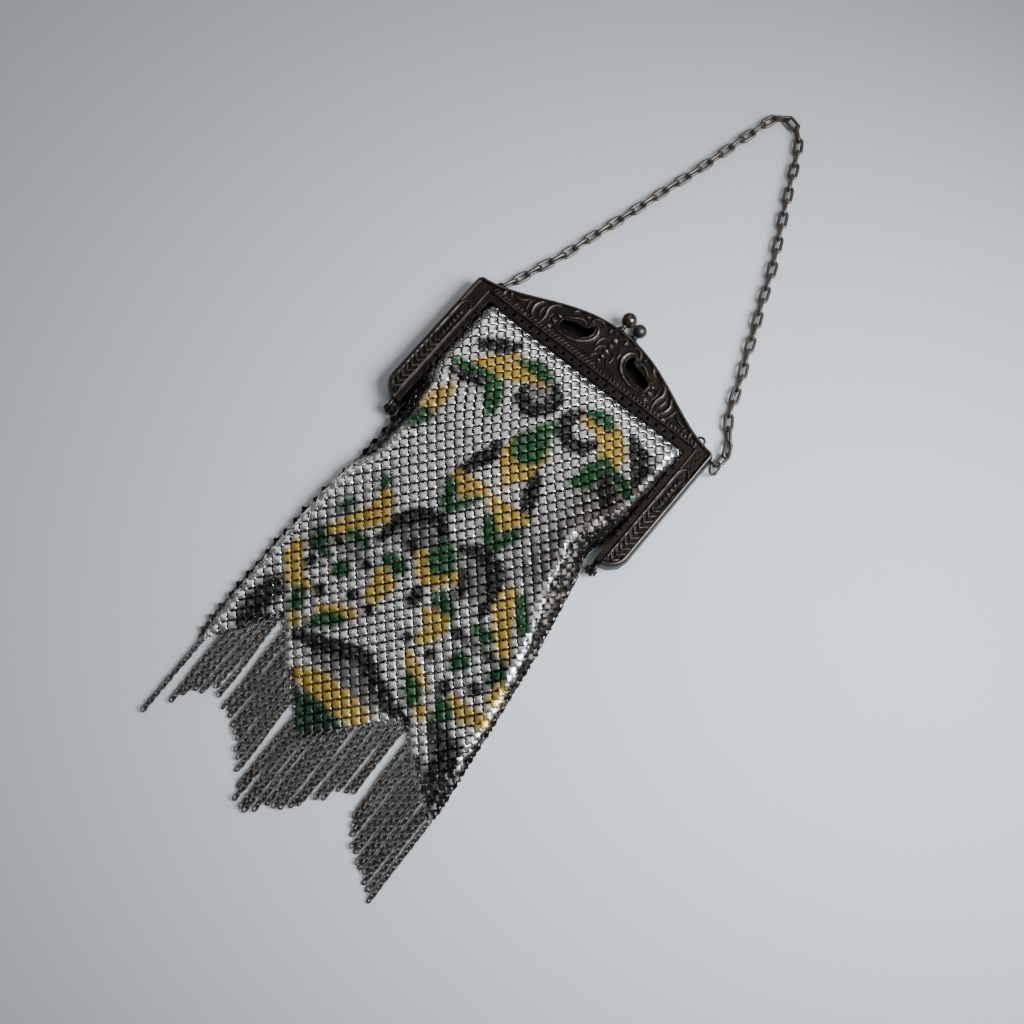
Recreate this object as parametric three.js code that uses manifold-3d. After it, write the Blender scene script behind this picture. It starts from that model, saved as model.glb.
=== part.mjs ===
// Metal mesh purse lying on its back, closed: a hinged stamped frame with a ball clasp, a hollow bag of
// plate mesh with a zigzag hem, a fringe of fine link strands and a chain handle.
// Millimetres, +Z up, +X along the frame's bar, +Y from the bag towards the handle.
// The parts are laid out from the middle of the frame's shoulder line, and the finished group is moved so
// that the origin lies at the middle of the purse's footprint, on the surface that it rests on.

import * as THREE from "three";
import { mergeVertices } from "three/addons/utils/BufferGeometryUtils.js";
import Module from "manifold-3d";

const wasm = await Module();
wasm.setup();

const GAP = 0.3;
// Joined bodies lose the slivers that are thinner than this
const SLIVER = 0.02;

// Frame halves
const FRAME_HALF_WIDTH = 51;
const CREST_HEIGHT = 15;
const CREST_EASE = 1.15;
const ARM_LENGTH = 53.5;
const ARM_FACE_WIDTH = 6.2;
const FLANGE_WIDTH = 2.2;
const BAR_FACE_DEPTH = 2.9;
const BAR_FLANGE_DEPTH = 2.7;
const HALF_THICKNESS = 3.85;
const SHEET = 0.9;
const FLANGE_STEP = 0.7;
const FOOT_RADIUS = 7;
const SHOULDER_CUT = 1.3;
const RIM_ROUND = 1.1;

// Holes along the bar that the mesh is hooked into
const HOLE_PITCH = 3.65;
const HOLE_SIZE = 1.1;

// Slots through the front pediment, and the raised ornament
const SLOT_REACH = 11;
const SLOT_INNER_X = 7.6;
const SLOT_BASE_Y = 2.7;
const SLOT_HEIGHT = 6.6;
const RELIEF_WIDTH = 0.9;
const RELIEF_HEIGHT = 0.6;
const RELIEF_SINK = 0.35;
const CHEVRON_PITCH = 2.4;
const CHEVRON_REACH = 22;

// Clasp
const CLASP_X = 1;
const BALL_SPREAD = 2.3;
const FRONT_BALL_RADIUS = 2.75;
const REAR_BALL_RADIUS = 2.5;
const FRONT_BALL_RISE = 5;
const REAR_BALL_RISE = 3.9;
const STUD_RADIUS = 0.75;
const STUD_HEAD_RADIUS = 1.3;
const STUD_HEAD_LENGTH = 0.7;
const STUD_SLACK = 0.3;
const CLASP_PLATE_HALF_WIDTH = 12;
const CLASP_PLATE_RISE = 1.5;

// Hinge at the foot of each arm
const LUG_RADIUS = 1.75;
const LUG_THICKNESS = 1.1;
const HINGE_INSET = 7.2;
const HINGE_DROP = 3.1;
const PIN_RADIUS = 0.6;
const PIN_HEAD_RADIUS = 1.1;
const PIN_HEAD_LENGTH = 0.5;

// Chain eyes on the back half, and the eye and ring at the right corner of the front half
const EYE_INSET = 7.1;
const EYE_RADIUS = 1.5;
const EYE_WIRE = 0.9;
const CORNER_EYE_RADIUS = 1.2;
const CORNER_EYE_WIRE = 0.8;
const RING_RADIUS = 2.3;
const RING_WIRE = 1;
const RING_TILT = THREE.MathUtils.degToRad(55);

// Chain: wire, the width of a link, the wanted pitch, and how far fused links bite into each other
const LINK_WIRE = 1;
const LINK_WIDTH = 3.8;
const LINK_PITCH = 4.75;
const LINK_BITE = 0.14;
const LINK_SEGMENTS = 10;
const LINK_SIDES = 5;

// Bag. Its length goes with the arms, because its waist lies at their feet.
const BAG_TO_ARM = 2.86;
const BAG_THICKNESS = 9;
const BAG_WALL = 1;
const HEM_THICKNESS = 2.2;

// Fringe
const STRAND_PITCH = 2.1;
const STRAND_WIDTH = 1.5;
const STRAND_THICKNESS = 1.4;
const STRAND_LENGTH = 29;
const HEM_BAND = 1.7;

// The bag's side edges. down and left, right are shares of the bag's length and of its half width, and
// full and lift are shares of its thickness: the height of its front and of its back.
const BAG_ROWS = [
  { down: 0.0, left: 1.0, right: 1.0, full: 0.85, lift: 0.06 },
  { down: 0.05, left: 1.0, right: 1.0, full: 0.93, lift: 0.03 },
  { down: 0.15, left: 1.0, right: 1.0, full: 1.0, lift: 0.0 },
  { down: 0.24, left: 0.995, right: 0.99, full: 1.0, lift: 0.0 },
  { down: 0.31, left: 0.975, right: 0.915, full: 0.97, lift: 0.0 },
  { down: 0.36, left: 0.965, right: 0.995, full: 0.92, lift: 0.0 },
  { down: 0.45, left: 0.965, right: 1.06, full: 0.82, lift: 0.0 },
  { down: 0.56, left: 1.005, right: 1.14, full: 0.68, lift: 0.0 },
  { down: 0.7, left: 1.015, right: 1.215, full: 0.52, lift: 0.0 },
  { down: 0.83, left: 1.005, right: 1.275, full: 0.42, lift: 0.0 },
  { down: 0.93, left: 0.985, right: 1.33, full: 0.36, lift: 0.0 },
  { down: 1.0, left: 0.945, right: 1.325, full: 0.25, lift: 0.0 },
];

// Where the front of the bag stands across its width: across runs from the left edge to the right one,
// and rise is the share of the row's height.
const BAG_FRONT = [
  { across: 0.0, rise: 0.5 },
  { across: 0.035, rise: 0.84 },
  { across: 0.09, rise: 1.0 },
  { across: 0.177, rise: 0.96 },
  { across: 0.32, rise: 0.9 },
  { across: 0.47, rise: 0.94 },
  { across: 0.6, rise: 0.89 },
  { across: 0.731, rise: 0.95 },
  { across: 0.87, rise: 1.0 },
  { across: 0.955, rise: 0.84 },
  { across: 1.0, rise: 0.5 },
];

// The hem's three points and two valleys, as shares of the bag's width and length
const HEM = [
  { across: 0.0, down: 0.985 },
  { across: 0.177, down: 0.823 },
  { across: 0.47, down: 1.0 },
  { across: 0.731, down: 0.83 },
  { across: 1.0, down: 0.955 },
];

// Lengths of the strands along the hem, as shares of the strand length
const STRAND_LENGTHS = [
  { across: 0.0, share: 0.98 },
  { across: 0.06, share: 1.0 },
  { across: 0.1, share: 0.98 },
  { across: 0.177, share: 1.14 },
  { across: 0.25, share: 0.93 },
  { across: 0.36, share: 0.93 },
  { across: 0.5, share: 1.0 },
  { across: 0.62, share: 1.06 },
  { across: 0.731, share: 0.94 },
  { across: 0.82, share: 1.08 },
  { across: 0.93, share: 1.07 },
  { across: 1.0, share: 1.08 },
];
const MISSING_STRANDS = [1, 8, 18, 34];
const STRAND_LEAN = THREE.MathUtils.degToRad(2.2);

// The chain's way round from the left eye to the right ring
const CHAIN_ROUTE = [
  [-41.4, 8.5], [-38.2, 17.6], [-35, 25.7], [-32.4, 35.8], [-29.7, 44.9], [-27.1, 54], [-24.5, 63.6],
  [-21.8, 73.3], [-19.2, 82.4], [-17, 91.5], [-14.9, 100.5], [-12.6, 109.4], [-11, 115.6], [-6.6, 119],
  [-0.9, 116.8], [3.8, 110.3], [7.6, 102.4], [11.4, 94.5], [15.7, 85.7], [20.1, 76.9], [24.4, 68],
  [29.9, 54.2], [33.8, 45.4], [37.1, 37], [40.9, 28.6], [43.7, 20.7], [46.5, 14.3], [53.2, 5.4],
];
// How far the links are rolled from lying flat, in degrees, at shares of the chain's length
const CHAIN_ROLLS = [
  { along: 0.0, roll: 90 },
  { along: 0.25, roll: 82 },
  { along: 0.5, roll: 98 },
  { along: 0.8, roll: 84 },
  { along: 0.94, roll: 84 },
  { along: 0.98, roll: 60 },
  { along: 1.0, roll: 38 },
];

const frontTop = 2 * HALF_THICKNESS + GAP;
const faceInner = FRAME_HALF_WIDTH - ARM_FACE_WIDTH;
const flangeInner = faceInner - FLANGE_WIDTH;
const barBottom = -(BAR_FACE_DEPTH + BAR_FLANGE_DEPTH);
const hingeX = FRAME_HALF_WIDTH - HINGE_INSET;
const hingeY = -(ARM_LENGTH + HINGE_DROP);
const hingeZ = HALF_THICKNESS + GAP / 2;
const eyeX = FRAME_HALF_WIDTH - EYE_INSET;
const bagHalfWidth = flangeInner - GAP;
const bagLength = ARM_LENGTH * BAG_TO_ARM;

function lerp(from, to, share) {
  return from + (to - from) * share;
}

// Reads a table at a value of its first column, with straight lines between its rows.
function readTable(rows, key, column, value) {
  for (let i = 1; i < rows.length; i += 1) {
    const low = rows[i - 1];
    const high = rows[i];
    if (value <= high[key]) {
      return lerp(low[column], high[column], (value - low[key]) / (high[key] - low[key]));
    }
  }
  return rows[rows.length - 1][column];
}

function toSolid(geometry) {
  const bare = geometry.clone();
  bare.deleteAttribute("normal");
  bare.deleteAttribute("uv");
  const merged = mergeVertices(bare, 1e-4);
  const mesh = new wasm.Mesh({
    numProp: 3,
    vertProperties: new Float32Array(merged.attributes.position.array),
    triVerts: new Uint32Array(merged.index.array),
  });
  return new wasm.Manifold(mesh);
}

function toGeometry(solid) {
  const mesh = solid.simplify(SLIVER).getMesh();
  const geometry = new THREE.BufferGeometry();
  geometry.setAttribute("position", new THREE.BufferAttribute(new Float32Array(mesh.vertProperties), 3));
  geometry.setIndex(new THREE.BufferAttribute(new Uint32Array(mesh.triVerts), 1));
  return geometry;
}

function joinAll(solids) {
  let joined = solids[0];
  for (const next of solids.slice(1)) {
    joined = joined.add(next);
  }
  return joined;
}

function box(lowX, highX, lowY, highY, lowZ, highZ) {
  const geometry = new THREE.BoxGeometry(highX - lowX, highY - lowY, highZ - lowZ);
  geometry.translate((lowX + highX) / 2, (lowY + highY) / 2, (lowZ + highZ) / 2);
  return toSolid(geometry);
}

function prism(points, lowZ, highZ) {
  const geometry = new THREE.ExtrudeGeometry(new THREE.Shape(points), {
    depth: highZ - lowZ,
    bevelEnabled: false,
  });
  geometry.translate(0, 0, lowZ);
  return toSolid(geometry);
}

// A closed body through rings of points that all have the same count. cap lists the triangles that close
// the last ring, and the first ring is closed by the same ones turned over.
function loft(rings, cap) {
  const count = rings[0].length;
  const positions = rings.flat().flatMap((p) => [p.x, p.y, p.z]);
  const index = [];
  for (let r = 0; r + 1 < rings.length; r += 1) {
    for (let i = 0; i < count; i += 1) {
      const a = r * count + i;
      const b = r * count + ((i + 1) % count);
      index.push(a, b, b + count, a, b + count, a + count);
    }
  }
  const last = (rings.length - 1) * count;
  for (const [a, b, c] of cap) {
    index.push(c, b, a, last + a, last + b, last + c);
  }
  const geometry = new THREE.BufferGeometry();
  geometry.setAttribute("position", new THREE.Float32BufferAttribute(positions, 3));
  geometry.setIndex(index);
  return toSolid(geometry);
}

// A closed wire loop in the XY plane, stretched along X. A corner of the wire's section faces inward.
function wireLoop(radius, wire, stretch, segments, sides) {
  const positions = [];
  const index = [];
  for (let s = 0; s < segments; s += 1) {
    const turn = (s / segments) * 2 * Math.PI;
    const shift = Math.abs(Math.cos(turn)) < 1e-6 ? 0 : Math.sign(Math.cos(turn)) * stretch;
    for (let k = 0; k < sides; k += 1) {
      const angle = Math.PI + (k / sides) * 2 * Math.PI;
      const out = radius + (wire / 2) * Math.cos(angle);
      positions.push(out * Math.cos(turn) + shift, out * Math.sin(turn), (wire / 2) * Math.sin(angle));
      const a = s * sides + k;
      const b = s * sides + ((k + 1) % sides);
      const c = ((s + 1) % segments) * sides + k;
      const d = ((s + 1) % segments) * sides + ((k + 1) % sides);
      index.push(a, c, d, a, d, b);
    }
  }
  const geometry = new THREE.BufferGeometry();
  geometry.setAttribute("position", new THREE.Float32BufferAttribute(positions, 3));
  geometry.setIndex(index);
  return geometry;
}

function crestLine(x) {
  const u = Math.pow(Math.min(Math.abs(x) / FRAME_HALF_WIDTH, 1), CREST_EASE);
  return CREST_HEIGHT * (1 - 3 * u * u + 2 * u * u * u);
}

// The outline of the whole frame, arms and window filled in, drawn in by an inset.
function silhouette(inset) {
  const points = [];
  const crestSteps = 12;
  const reach = FRAME_HALF_WIDTH - inset;
  for (let i = 0; i <= crestSteps; i += 1) {
    const x = lerp(reach - SHOULDER_CUT, -(reach - SHOULDER_CUT), i / crestSteps);
    points.push(new THREE.Vector2(x, crestLine(x) - inset));
  }
  const cornerSteps = 3;
  const corner = FOOT_RADIUS - inset;
  const foot = -(ARM_LENGTH - FOOT_RADIUS);
  const side = FRAME_HALF_WIDTH - FOOT_RADIUS;
  points.push(new THREE.Vector2(-reach, -SHOULDER_CUT - inset));
  for (let i = 0; i <= cornerSteps; i += 1) {
    const turn = Math.PI + (i / cornerSteps) * (Math.PI / 2);
    points.push(new THREE.Vector2(-side + corner * Math.cos(turn), foot + corner * Math.sin(turn)));
  }
  for (let i = 0; i <= cornerSteps; i += 1) {
    const turn = -Math.PI / 2 + (i / cornerSteps) * (Math.PI / 2);
    points.push(new THREE.Vector2(side + corner * Math.cos(turn), foot + corner * Math.sin(turn)));
  }
  points.push(new THREE.Vector2(reach, -SHOULDER_CUT - inset));
  return points;
}

function shield(levels) {
  const rings = levels.map(({ z, inset }) => silhouette(inset).map((p) => new THREE.Vector3(p.x, p.y, z)));
  return loft(rings, THREE.ShapeUtils.triangulateShape(silhouette(levels[0].inset), []));
}

// One pressed half with its face up: an open dish with a stepped flange round the window.
function pressedHalf() {
  const skin = shield([
    { z: 0, inset: 0 },
    { z: HALF_THICKNESS - RIM_ROUND, inset: 0 },
    { z: HALF_THICKNESS - RIM_ROUND * 0.3, inset: RIM_ROUND * 0.3 },
    { z: HALF_THICKNESS, inset: RIM_ROUND },
  ]);
  const below = -1;
  const hollow = shield([
    { z: below, inset: SHEET },
    { z: HALF_THICKNESS - SHEET, inset: SHEET },
  ]);
  const under = -2 * ARM_LENGTH;
  const window = box(-faceInner, faceInner, under, -BAR_FACE_DEPTH, below, HALF_THICKNESS + 1);
  const flangeTop = HALF_THICKNESS - FLANGE_STEP;
  const flangeLap = SHEET / 2;
  const flangeFoot = -(ARM_LENGTH - SHEET);
  const lapped = faceInner + flangeLap;
  const flange = box(-lapped, lapped, flangeFoot, -BAR_FACE_DEPTH + flangeLap, flangeTop - SHEET, flangeTop)
    .subtract(box(-flangeInner, flangeInner, under, barBottom, below, HALF_THICKNESS));
  return skin.subtract(hollow).subtract(window).add(flange);
}

// A raised strip with a ridged back along a hand-drawn line, thinner towards its ends.
function raisedStrip(line, width, height, steps, faceZ) {
  const curve = new THREE.SplineCurve(line.map(([x, y]) => new THREE.Vector2(x, y)));
  const rings = [];
  for (let i = 0; i <= steps; i += 1) {
    const share = i / steps;
    const at = curve.getPoint(share);
    const along = curve.getTangent(share);
    const swell = steps > 2 ? 0.45 + 0.55 * Math.sin(Math.PI * share) : 1;
    const half = (width / 2) * swell;
    const side = new THREE.Vector2(-along.y, along.x).multiplyScalar(half);
    rings.push([
      new THREE.Vector3(at.x - side.x, at.y - side.y, faceZ),
      new THREE.Vector3(at.x, at.y, faceZ - RELIEF_SINK),
      new THREE.Vector3(at.x + side.x, at.y + side.y, faceZ),
      new THREE.Vector3(at.x, at.y, faceZ + height * swell),
    ]);
  }
  return loft(rings, [[0, 1, 2], [0, 2, 3]]);
}

function bead(x, y, radius, faceZ) {
  const geometry = new THREE.IcosahedronGeometry(radius, 0);
  geometry.scale(1, 1, (RELIEF_HEIGHT * 1.2) / radius);
  geometry.translate(x, y, faceZ);
  return toSolid(geometry);
}

// The scrolls of the right half of the pediment, drawn from the middle outwards on a frame of this half
// width and crest height, and stretched with it
const DRAWN_HALF_WIDTH = 51;
const DRAWN_CREST = 15;
const SCROLLS = [
  { steps: 9, line: [[10.7, 9.1], [9.6, 10.2], [8.1, 10.7], [6.5, 9.5], [6, 7.3], [6.8, 4.9], [9, 2.6],
    [12.2, 1.1], [16, 0.8], [19.4, 1.1]] },
  { steps: 4, line: [[5.4, 11.6], [7.2, 12.8], [8.9, 12.7], [10.2, 11.6], [10.4, 10.4]] },
  { steps: 4, line: [[10.9, 7.9], [12.2, 9.2], [14.3, 8.9], [16.4, 7.5], [19, 6.3]] },
  { steps: 4, line: [[13.4, 11.2], [14.6, 12], [16.2, 11], [17.4, 9.4], [18.3, 9]] },
  { steps: 4, line: [[26.1, 7], [27.9, 5.7], [29.2, 3.2], [28.7, 0.6], [27.4, -1.4]] },
  { steps: 4, line: [[21.1, 8.3], [23.5, 7.6], [24.8, 5.2], [24.1, 2.4], [24.2, -0.4]] },
  { steps: 3, line: [[31.7, 4.2], [33.3, 2], [35.2, 1], [37, 1]] },
  { steps: 5, line: [[37.4, -0.2], [38.5, 1.3], [40.1, 0.9], [40.3, -0.5], [39.2, -1.2]] },
  { steps: 4, line: [[0.9, 12], [2, 13.1], [3.4, 12.6], [3.3, 11.3], [2.2, 10.8]] },
];
const BUDS = [
  { x: 20.9, y: 2.9, radius: 1.2 },
  { x: 21, y: 0.2, radius: 1.1 },
];
const STEM_BEADS = [10.4, 7.9, 5.5, 3.2];
const STEM_BEAD_RADIUS = 1;

// The slot's outline, as shares of its reach outwards and of its height
const SLOT_OUTLINE = [
  [0.05, 1], [0, 0.75], [0.06, 0.45], [0.22, 0.17], [0.48, 0.03], [0.75, 0], [1, 0.03], [1, 0.34],
  [0.79, 0.52], [0.56, 0.64], [0.34, 0.67], [0.22, 0.76], [0.15, 0.99],
];

function mirrored(line, side) {
  return line.map(([x, y]) => [x * side, y]);
}

function stretched([x, y]) {
  return [(x * FRAME_HALF_WIDTH) / DRAWN_HALF_WIDTH, (y * CREST_HEIGHT) / DRAWN_CREST];
}

function slot(side) {
  const outline = SLOT_OUTLINE.map(([out, up]) => new THREE.Vector2(
    side * (SLOT_INNER_X + out * SLOT_REACH),
    SLOT_BASE_Y + up * SLOT_HEIGHT,
  ));
  return prism(outline, HALF_THICKNESS - 2 * SHEET, HALF_THICKNESS + 2);
}

function barHoles() {
  const reach = flangeInner - HOLE_PITCH;
  const count = Math.floor(reach / HOLE_PITCH);
  const y = -(BAR_FACE_DEPTH + BAR_FLANGE_DEPTH * 0.5);
  const half = HOLE_SIZE / 2;
  const holes = [];
  for (let i = -count; i <= count; i += 1) {
    const x = i * HOLE_PITCH;
    holes.push(box(x - half, x + half, y - half, y + half, 0, HALF_THICKNESS + 1));
  }
  return joinAll(holes);
}

function pedimentRelief(faceZ) {
  const solids = [];
  for (const side of [1, -1]) {
    for (const { line, steps } of SCROLLS) {
      const drawn = mirrored(line.map(stretched), side);
      solids.push(raisedStrip(drawn, RELIEF_WIDTH, RELIEF_HEIGHT, steps, faceZ));
    }
    for (const { x, y, radius } of BUDS) {
      const [budX, budY] = stretched([x, y]);
      solids.push(bead(side * budX, budY, radius, faceZ));
    }
  }
  for (const y of STEM_BEADS) {
    solids.push(bead(0, stretched([0, y])[1], STEM_BEAD_RADIUS, faceZ));
  }
  const edge = faceInner - RELIEF_WIDTH;
  const moulding = -(BAR_FACE_DEPTH - RELIEF_WIDTH);
  solids.push(raisedStrip([[-edge, moulding], [edge, moulding]], RELIEF_WIDTH, RELIEF_HEIGHT, 1, faceZ));
  return solids;
}

function armRelief(faceZ) {
  const solids = [];
  const middle = (faceInner + FRAME_HALF_WIDTH - RIM_ROUND) / 2;
  const half = (FRAME_HALF_WIDTH - RIM_ROUND - faceInner) / 2 - RELIEF_WIDTH * 0.7;
  const foot = -(ARM_LENGTH - FOOT_RADIUS * 0.6);
  const archY = -(BAR_FACE_DEPTH + BAR_FLANGE_DEPTH + 4);
  for (const side of [1, -1]) {
    const arch = [[middle - half, foot], [middle - half, archY - 3], [middle - half * 0.6, archY - 0.7],
      [middle, archY], [middle + half * 0.6, archY - 0.7], [middle + half, archY - 3],
      [middle + half, foot + FOOT_RADIUS * 0.3]];
    const straight = arch.slice(1, 6);
    solids.push(raisedStrip(mirrored(arch.slice(0, 2), side), RELIEF_WIDTH * 0.6, RELIEF_HEIGHT, 1, faceZ));
    solids.push(raisedStrip(mirrored(straight, side), RELIEF_WIDTH * 0.9, RELIEF_HEIGHT, 4, faceZ));
    solids.push(raisedStrip(mirrored(arch.slice(5), side), RELIEF_WIDTH * 0.6, RELIEF_HEIGHT, 1, faceZ));
    for (let along = 0; along < CHEVRON_REACH; along += CHEVRON_PITCH) {
      const y = foot + 1.5 + along;
      const wing = half - RELIEF_WIDTH * 0.4;
      const chevron = [[middle - wing, y - 1], [middle, y + 1], [middle + wing, y - 1]];
      solids.push(raisedStrip(mirrored(chevron, side), RELIEF_WIDTH * 0.8, RELIEF_HEIGHT * 0.8, 2, faceZ));
    }
  }
  return solids;
}

// A lug below an arm's foot, round at the hinge line, with a hole for the pin. toward is +1 where the
// half lies above the hinge line and -1 where it lies below.
function hingeLug(side, nearX, toward) {
  const outline = new THREE.Shape();
  outline.absarc(0, 0, LUG_RADIUS, Math.PI / 2, (Math.PI * 5) / 2, false);
  const disc = new THREE.ExtrudeGeometry(outline, {
    depth: LUG_THICKNESS,
    bevelEnabled: false,
    curveSegments: 8,
  });
  disc.rotateY(Math.PI / 2);
  disc.translate(nearX, hingeY, hingeZ);
  const rise = HALF_THICKNESS * 0.7;
  const lowZ = toward > 0 ? hingeZ + GAP / 2 : hingeZ - GAP / 2 - rise;
  const arm = box(nearX, nearX + LUG_THICKNESS, hingeY, -(ARM_LENGTH - SHEET), lowZ, lowZ + rise);
  const bore = new THREE.CylinderGeometry(PIN_RADIUS + GAP, PIN_RADIUS + GAP, 4 * LUG_THICKNESS, 6);
  bore.rotateZ(Math.PI / 2);
  bore.translate(nearX, hingeY, hingeZ);
  return toSolid(disc).add(arm).subtract(toSolid(bore));
}

function lugStarts(side) {
  const inner = side * hingeX - LUG_THICKNESS - GAP / 2;
  const outer = side * hingeX + GAP / 2;
  return side > 0 ? { back: inner, front: outer } : { back: outer, front: inner };
}

function studBore(x, z, faceY) {
  const sides = 6;
  const radius = (STUD_RADIUS + GAP) / Math.cos(Math.PI / sides);
  const bore = new THREE.CylinderGeometry(radius, radius, 6 * SHEET, sides);
  bore.translate(x, faceY, z);
  return toSolid(bore);
}

const studZFront = frontTop - HALF_THICKNESS * 0.6;
const studZRear = HALF_THICKNESS * 0.62;

function frontFrame() {
  let half = pressedHalf();
  half = half.subtract(slot(1)).subtract(slot(-1)).subtract(barHoles());
  half = joinAll([half, ...pedimentRelief(HALF_THICKNESS), ...armRelief(HALF_THICKNESS)]);
  half = half.translate([0, 0, HALF_THICKNESS + GAP]);
  for (const side of [1, -1]) {
    half = half.add(hingeLug(side, lugStarts(side).front, 1));
  }
  const eye = wireLoop(CORNER_EYE_RADIUS, CORNER_EYE_WIRE, 0, 10, 5);
  eye.rotateX(Math.PI / 2);
  eye.translate(...cornerEye.toArray());
  half = half.add(toSolid(eye));
  const studX = CLASP_X - BALL_SPREAD;
  return half.subtract(studBore(studX, studZFront, crestLine(studX)));
}

function backFrame() {
  let half = pressedHalf().add(claspPlate());
  half = half.rotate([0, 180, 0]).translate([0, 0, HALF_THICKNESS]);
  for (const side of [1, -1]) {
    half = half.add(hingeLug(side, lugStarts(side).back, -1));
    const eye = wireLoop(EYE_RADIUS, EYE_WIRE, 0, 10, 5);
    eye.translate(side * eyeX, eyeY, eyeZ);
    half = half.add(toSolid(eye));
  }
  const studX = CLASP_X + BALL_SPREAD;
  return half.subtract(studBore(studX, studZRear, crestLine(studX) + CLASP_PLATE_RISE));
}

// The plate that stands above the back half's crest and carries the rear ball, drawn face up, so it is
// mirrored across X when the half is turned over.
function claspPlate() {
  const points = [];
  const steps = 8;
  for (let i = 0; i <= steps; i += 1) {
    const share = i / steps;
    const x = -CLASP_X * 2 + lerp(CLASP_PLATE_HALF_WIDTH, -CLASP_PLATE_HALF_WIDTH, share);
    points.push(new THREE.Vector2(x, crestLine(x) + CLASP_PLATE_RISE * Math.sin(Math.PI * share)));
  }
  for (let i = steps; i >= 0; i -= 1) {
    const x = -CLASP_X * 2 + lerp(CLASP_PLATE_HALF_WIDTH, -CLASP_PLATE_HALF_WIDTH, i / steps);
    points.push(new THREE.Vector2(x, crestLine(x) - 0.8 * SHEET));
  }
  return prism(points, GAP, HALF_THICKNESS - RIM_ROUND);
}

const eyeY = crestLine(eyeX) + EYE_RADIUS - EYE_WIRE * 0.3;
const eyeZ = HALF_THICKNESS * 0.57;
const cornerEye = new THREE.Vector3(
  FRAME_HALF_WIDTH + RING_WIRE / 2 + GAP + CORNER_EYE_RADIUS - CORNER_EYE_WIRE - RING_WIRE * 0.1,
  -SHOULDER_CUT - 1.2,
  HALF_THICKNESS + GAP + (HALF_THICKNESS - RIM_ROUND) * 0.4,
);

// A clasp ball with its stud, which passes through the frame's rim and ends in a riveted head inside.
function claspBall(radius, rise, studX, wallTop, wall) {
  const outer = wallTop + GAP;
  const inner = wallTop - wall - GAP - STUD_SLACK;
  const ballY = wallTop + rise;
  const ball = new THREE.SphereGeometry(radius, 10, 6);
  ball.translate(0, ballY, 0);
  const stud = new THREE.CylinderGeometry(STUD_RADIUS, STUD_RADIUS, ballY - inner, 6);
  stud.translate(0, (ballY + inner) / 2, 0);
  const collar = new THREE.CylinderGeometry(STUD_RADIUS, STUD_HEAD_RADIUS, rise / 3, 8);
  collar.translate(0, outer + rise / 6, 0);
  const head = new THREE.CylinderGeometry(STUD_HEAD_RADIUS, STUD_HEAD_RADIUS, STUD_HEAD_LENGTH, 8);
  head.translate(0, inner - STUD_HEAD_LENGTH / 2, 0);
  const solid = joinAll([ball, stud, collar, head].map(toSolid));
  return toGeometry(solid);
}

function hingePin() {
  const grip = 2 * LUG_THICKNESS + 3 * GAP;
  const shank = new THREE.CylinderGeometry(PIN_RADIUS, PIN_RADIUS, grip + PIN_HEAD_LENGTH, 6);
  const heads = [1, -1].map((end) => {
    const head = new THREE.CylinderGeometry(PIN_HEAD_RADIUS, PIN_HEAD_RADIUS, PIN_HEAD_LENGTH, 6);
    head.translate(0, end * (grip + PIN_HEAD_LENGTH) / 2, 0);
    return head;
  });
  const solid = joinAll([shank, ...heads].map(toSolid));
  const geometry = toGeometry(solid);
  geometry.rotateZ(Math.PI / 2);
  return geometry;
}

// The ring's plane holds the Y axis and a line that drops outwards from the corner eye to the surface.
const ringOut = new THREE.Vector3(Math.cos(RING_TILT), 0, -Math.sin(RING_TILT));
const ringCentre = cornerEye.clone().addScaledVector(ringOut, RING_RADIUS);

function cornerRing() {
  const geometry = wireLoop(RING_RADIUS, RING_WIRE, 0, 12, 5);
  const up = new THREE.Vector3(0, 1, 0);
  const basis = new THREE.Matrix4().makeBasis(ringOut, up, new THREE.Vector3().crossVectors(ringOut, up));
  geometry.applyMatrix4(basis);
  return geometry;
}

// The chain's route, from inside the left eye to inside the corner ring.
function chainCurve() {
  const rest = LINK_WIDTH / 2 + 0.05;
  const route = CHAIN_ROUTE.map(([x, y]) => new THREE.Vector3(x, y, rest));
  const eye = new THREE.Vector3(-eyeX, eyeY, eyeZ);
  const toLink = route[0].clone().sub(eye).setZ(0).normalize();
  const reach = EYE_RADIUS - EYE_WIRE / 2 - GAP - LINK_BITE / 2;
  const start = eye.addScaledVector(toLink, reach);
  const pull = route[route.length - 1].clone().sub(ringCentre);
  const ringSide = ringOut.clone().multiplyScalar(pull.dot(ringOut));
  const inRing = ringSide.add(new THREE.Vector3(0, pull.y, 0)).normalize();
  const inside = RING_RADIUS - RING_WIRE / 2 - GAP - LINK_BITE / 2;
  const held = ringCentre.clone().addScaledVector(inRing, inside);
  return new THREE.CatmullRomCurve3([start, ...route, held], false, "centripetal");
}

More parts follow.
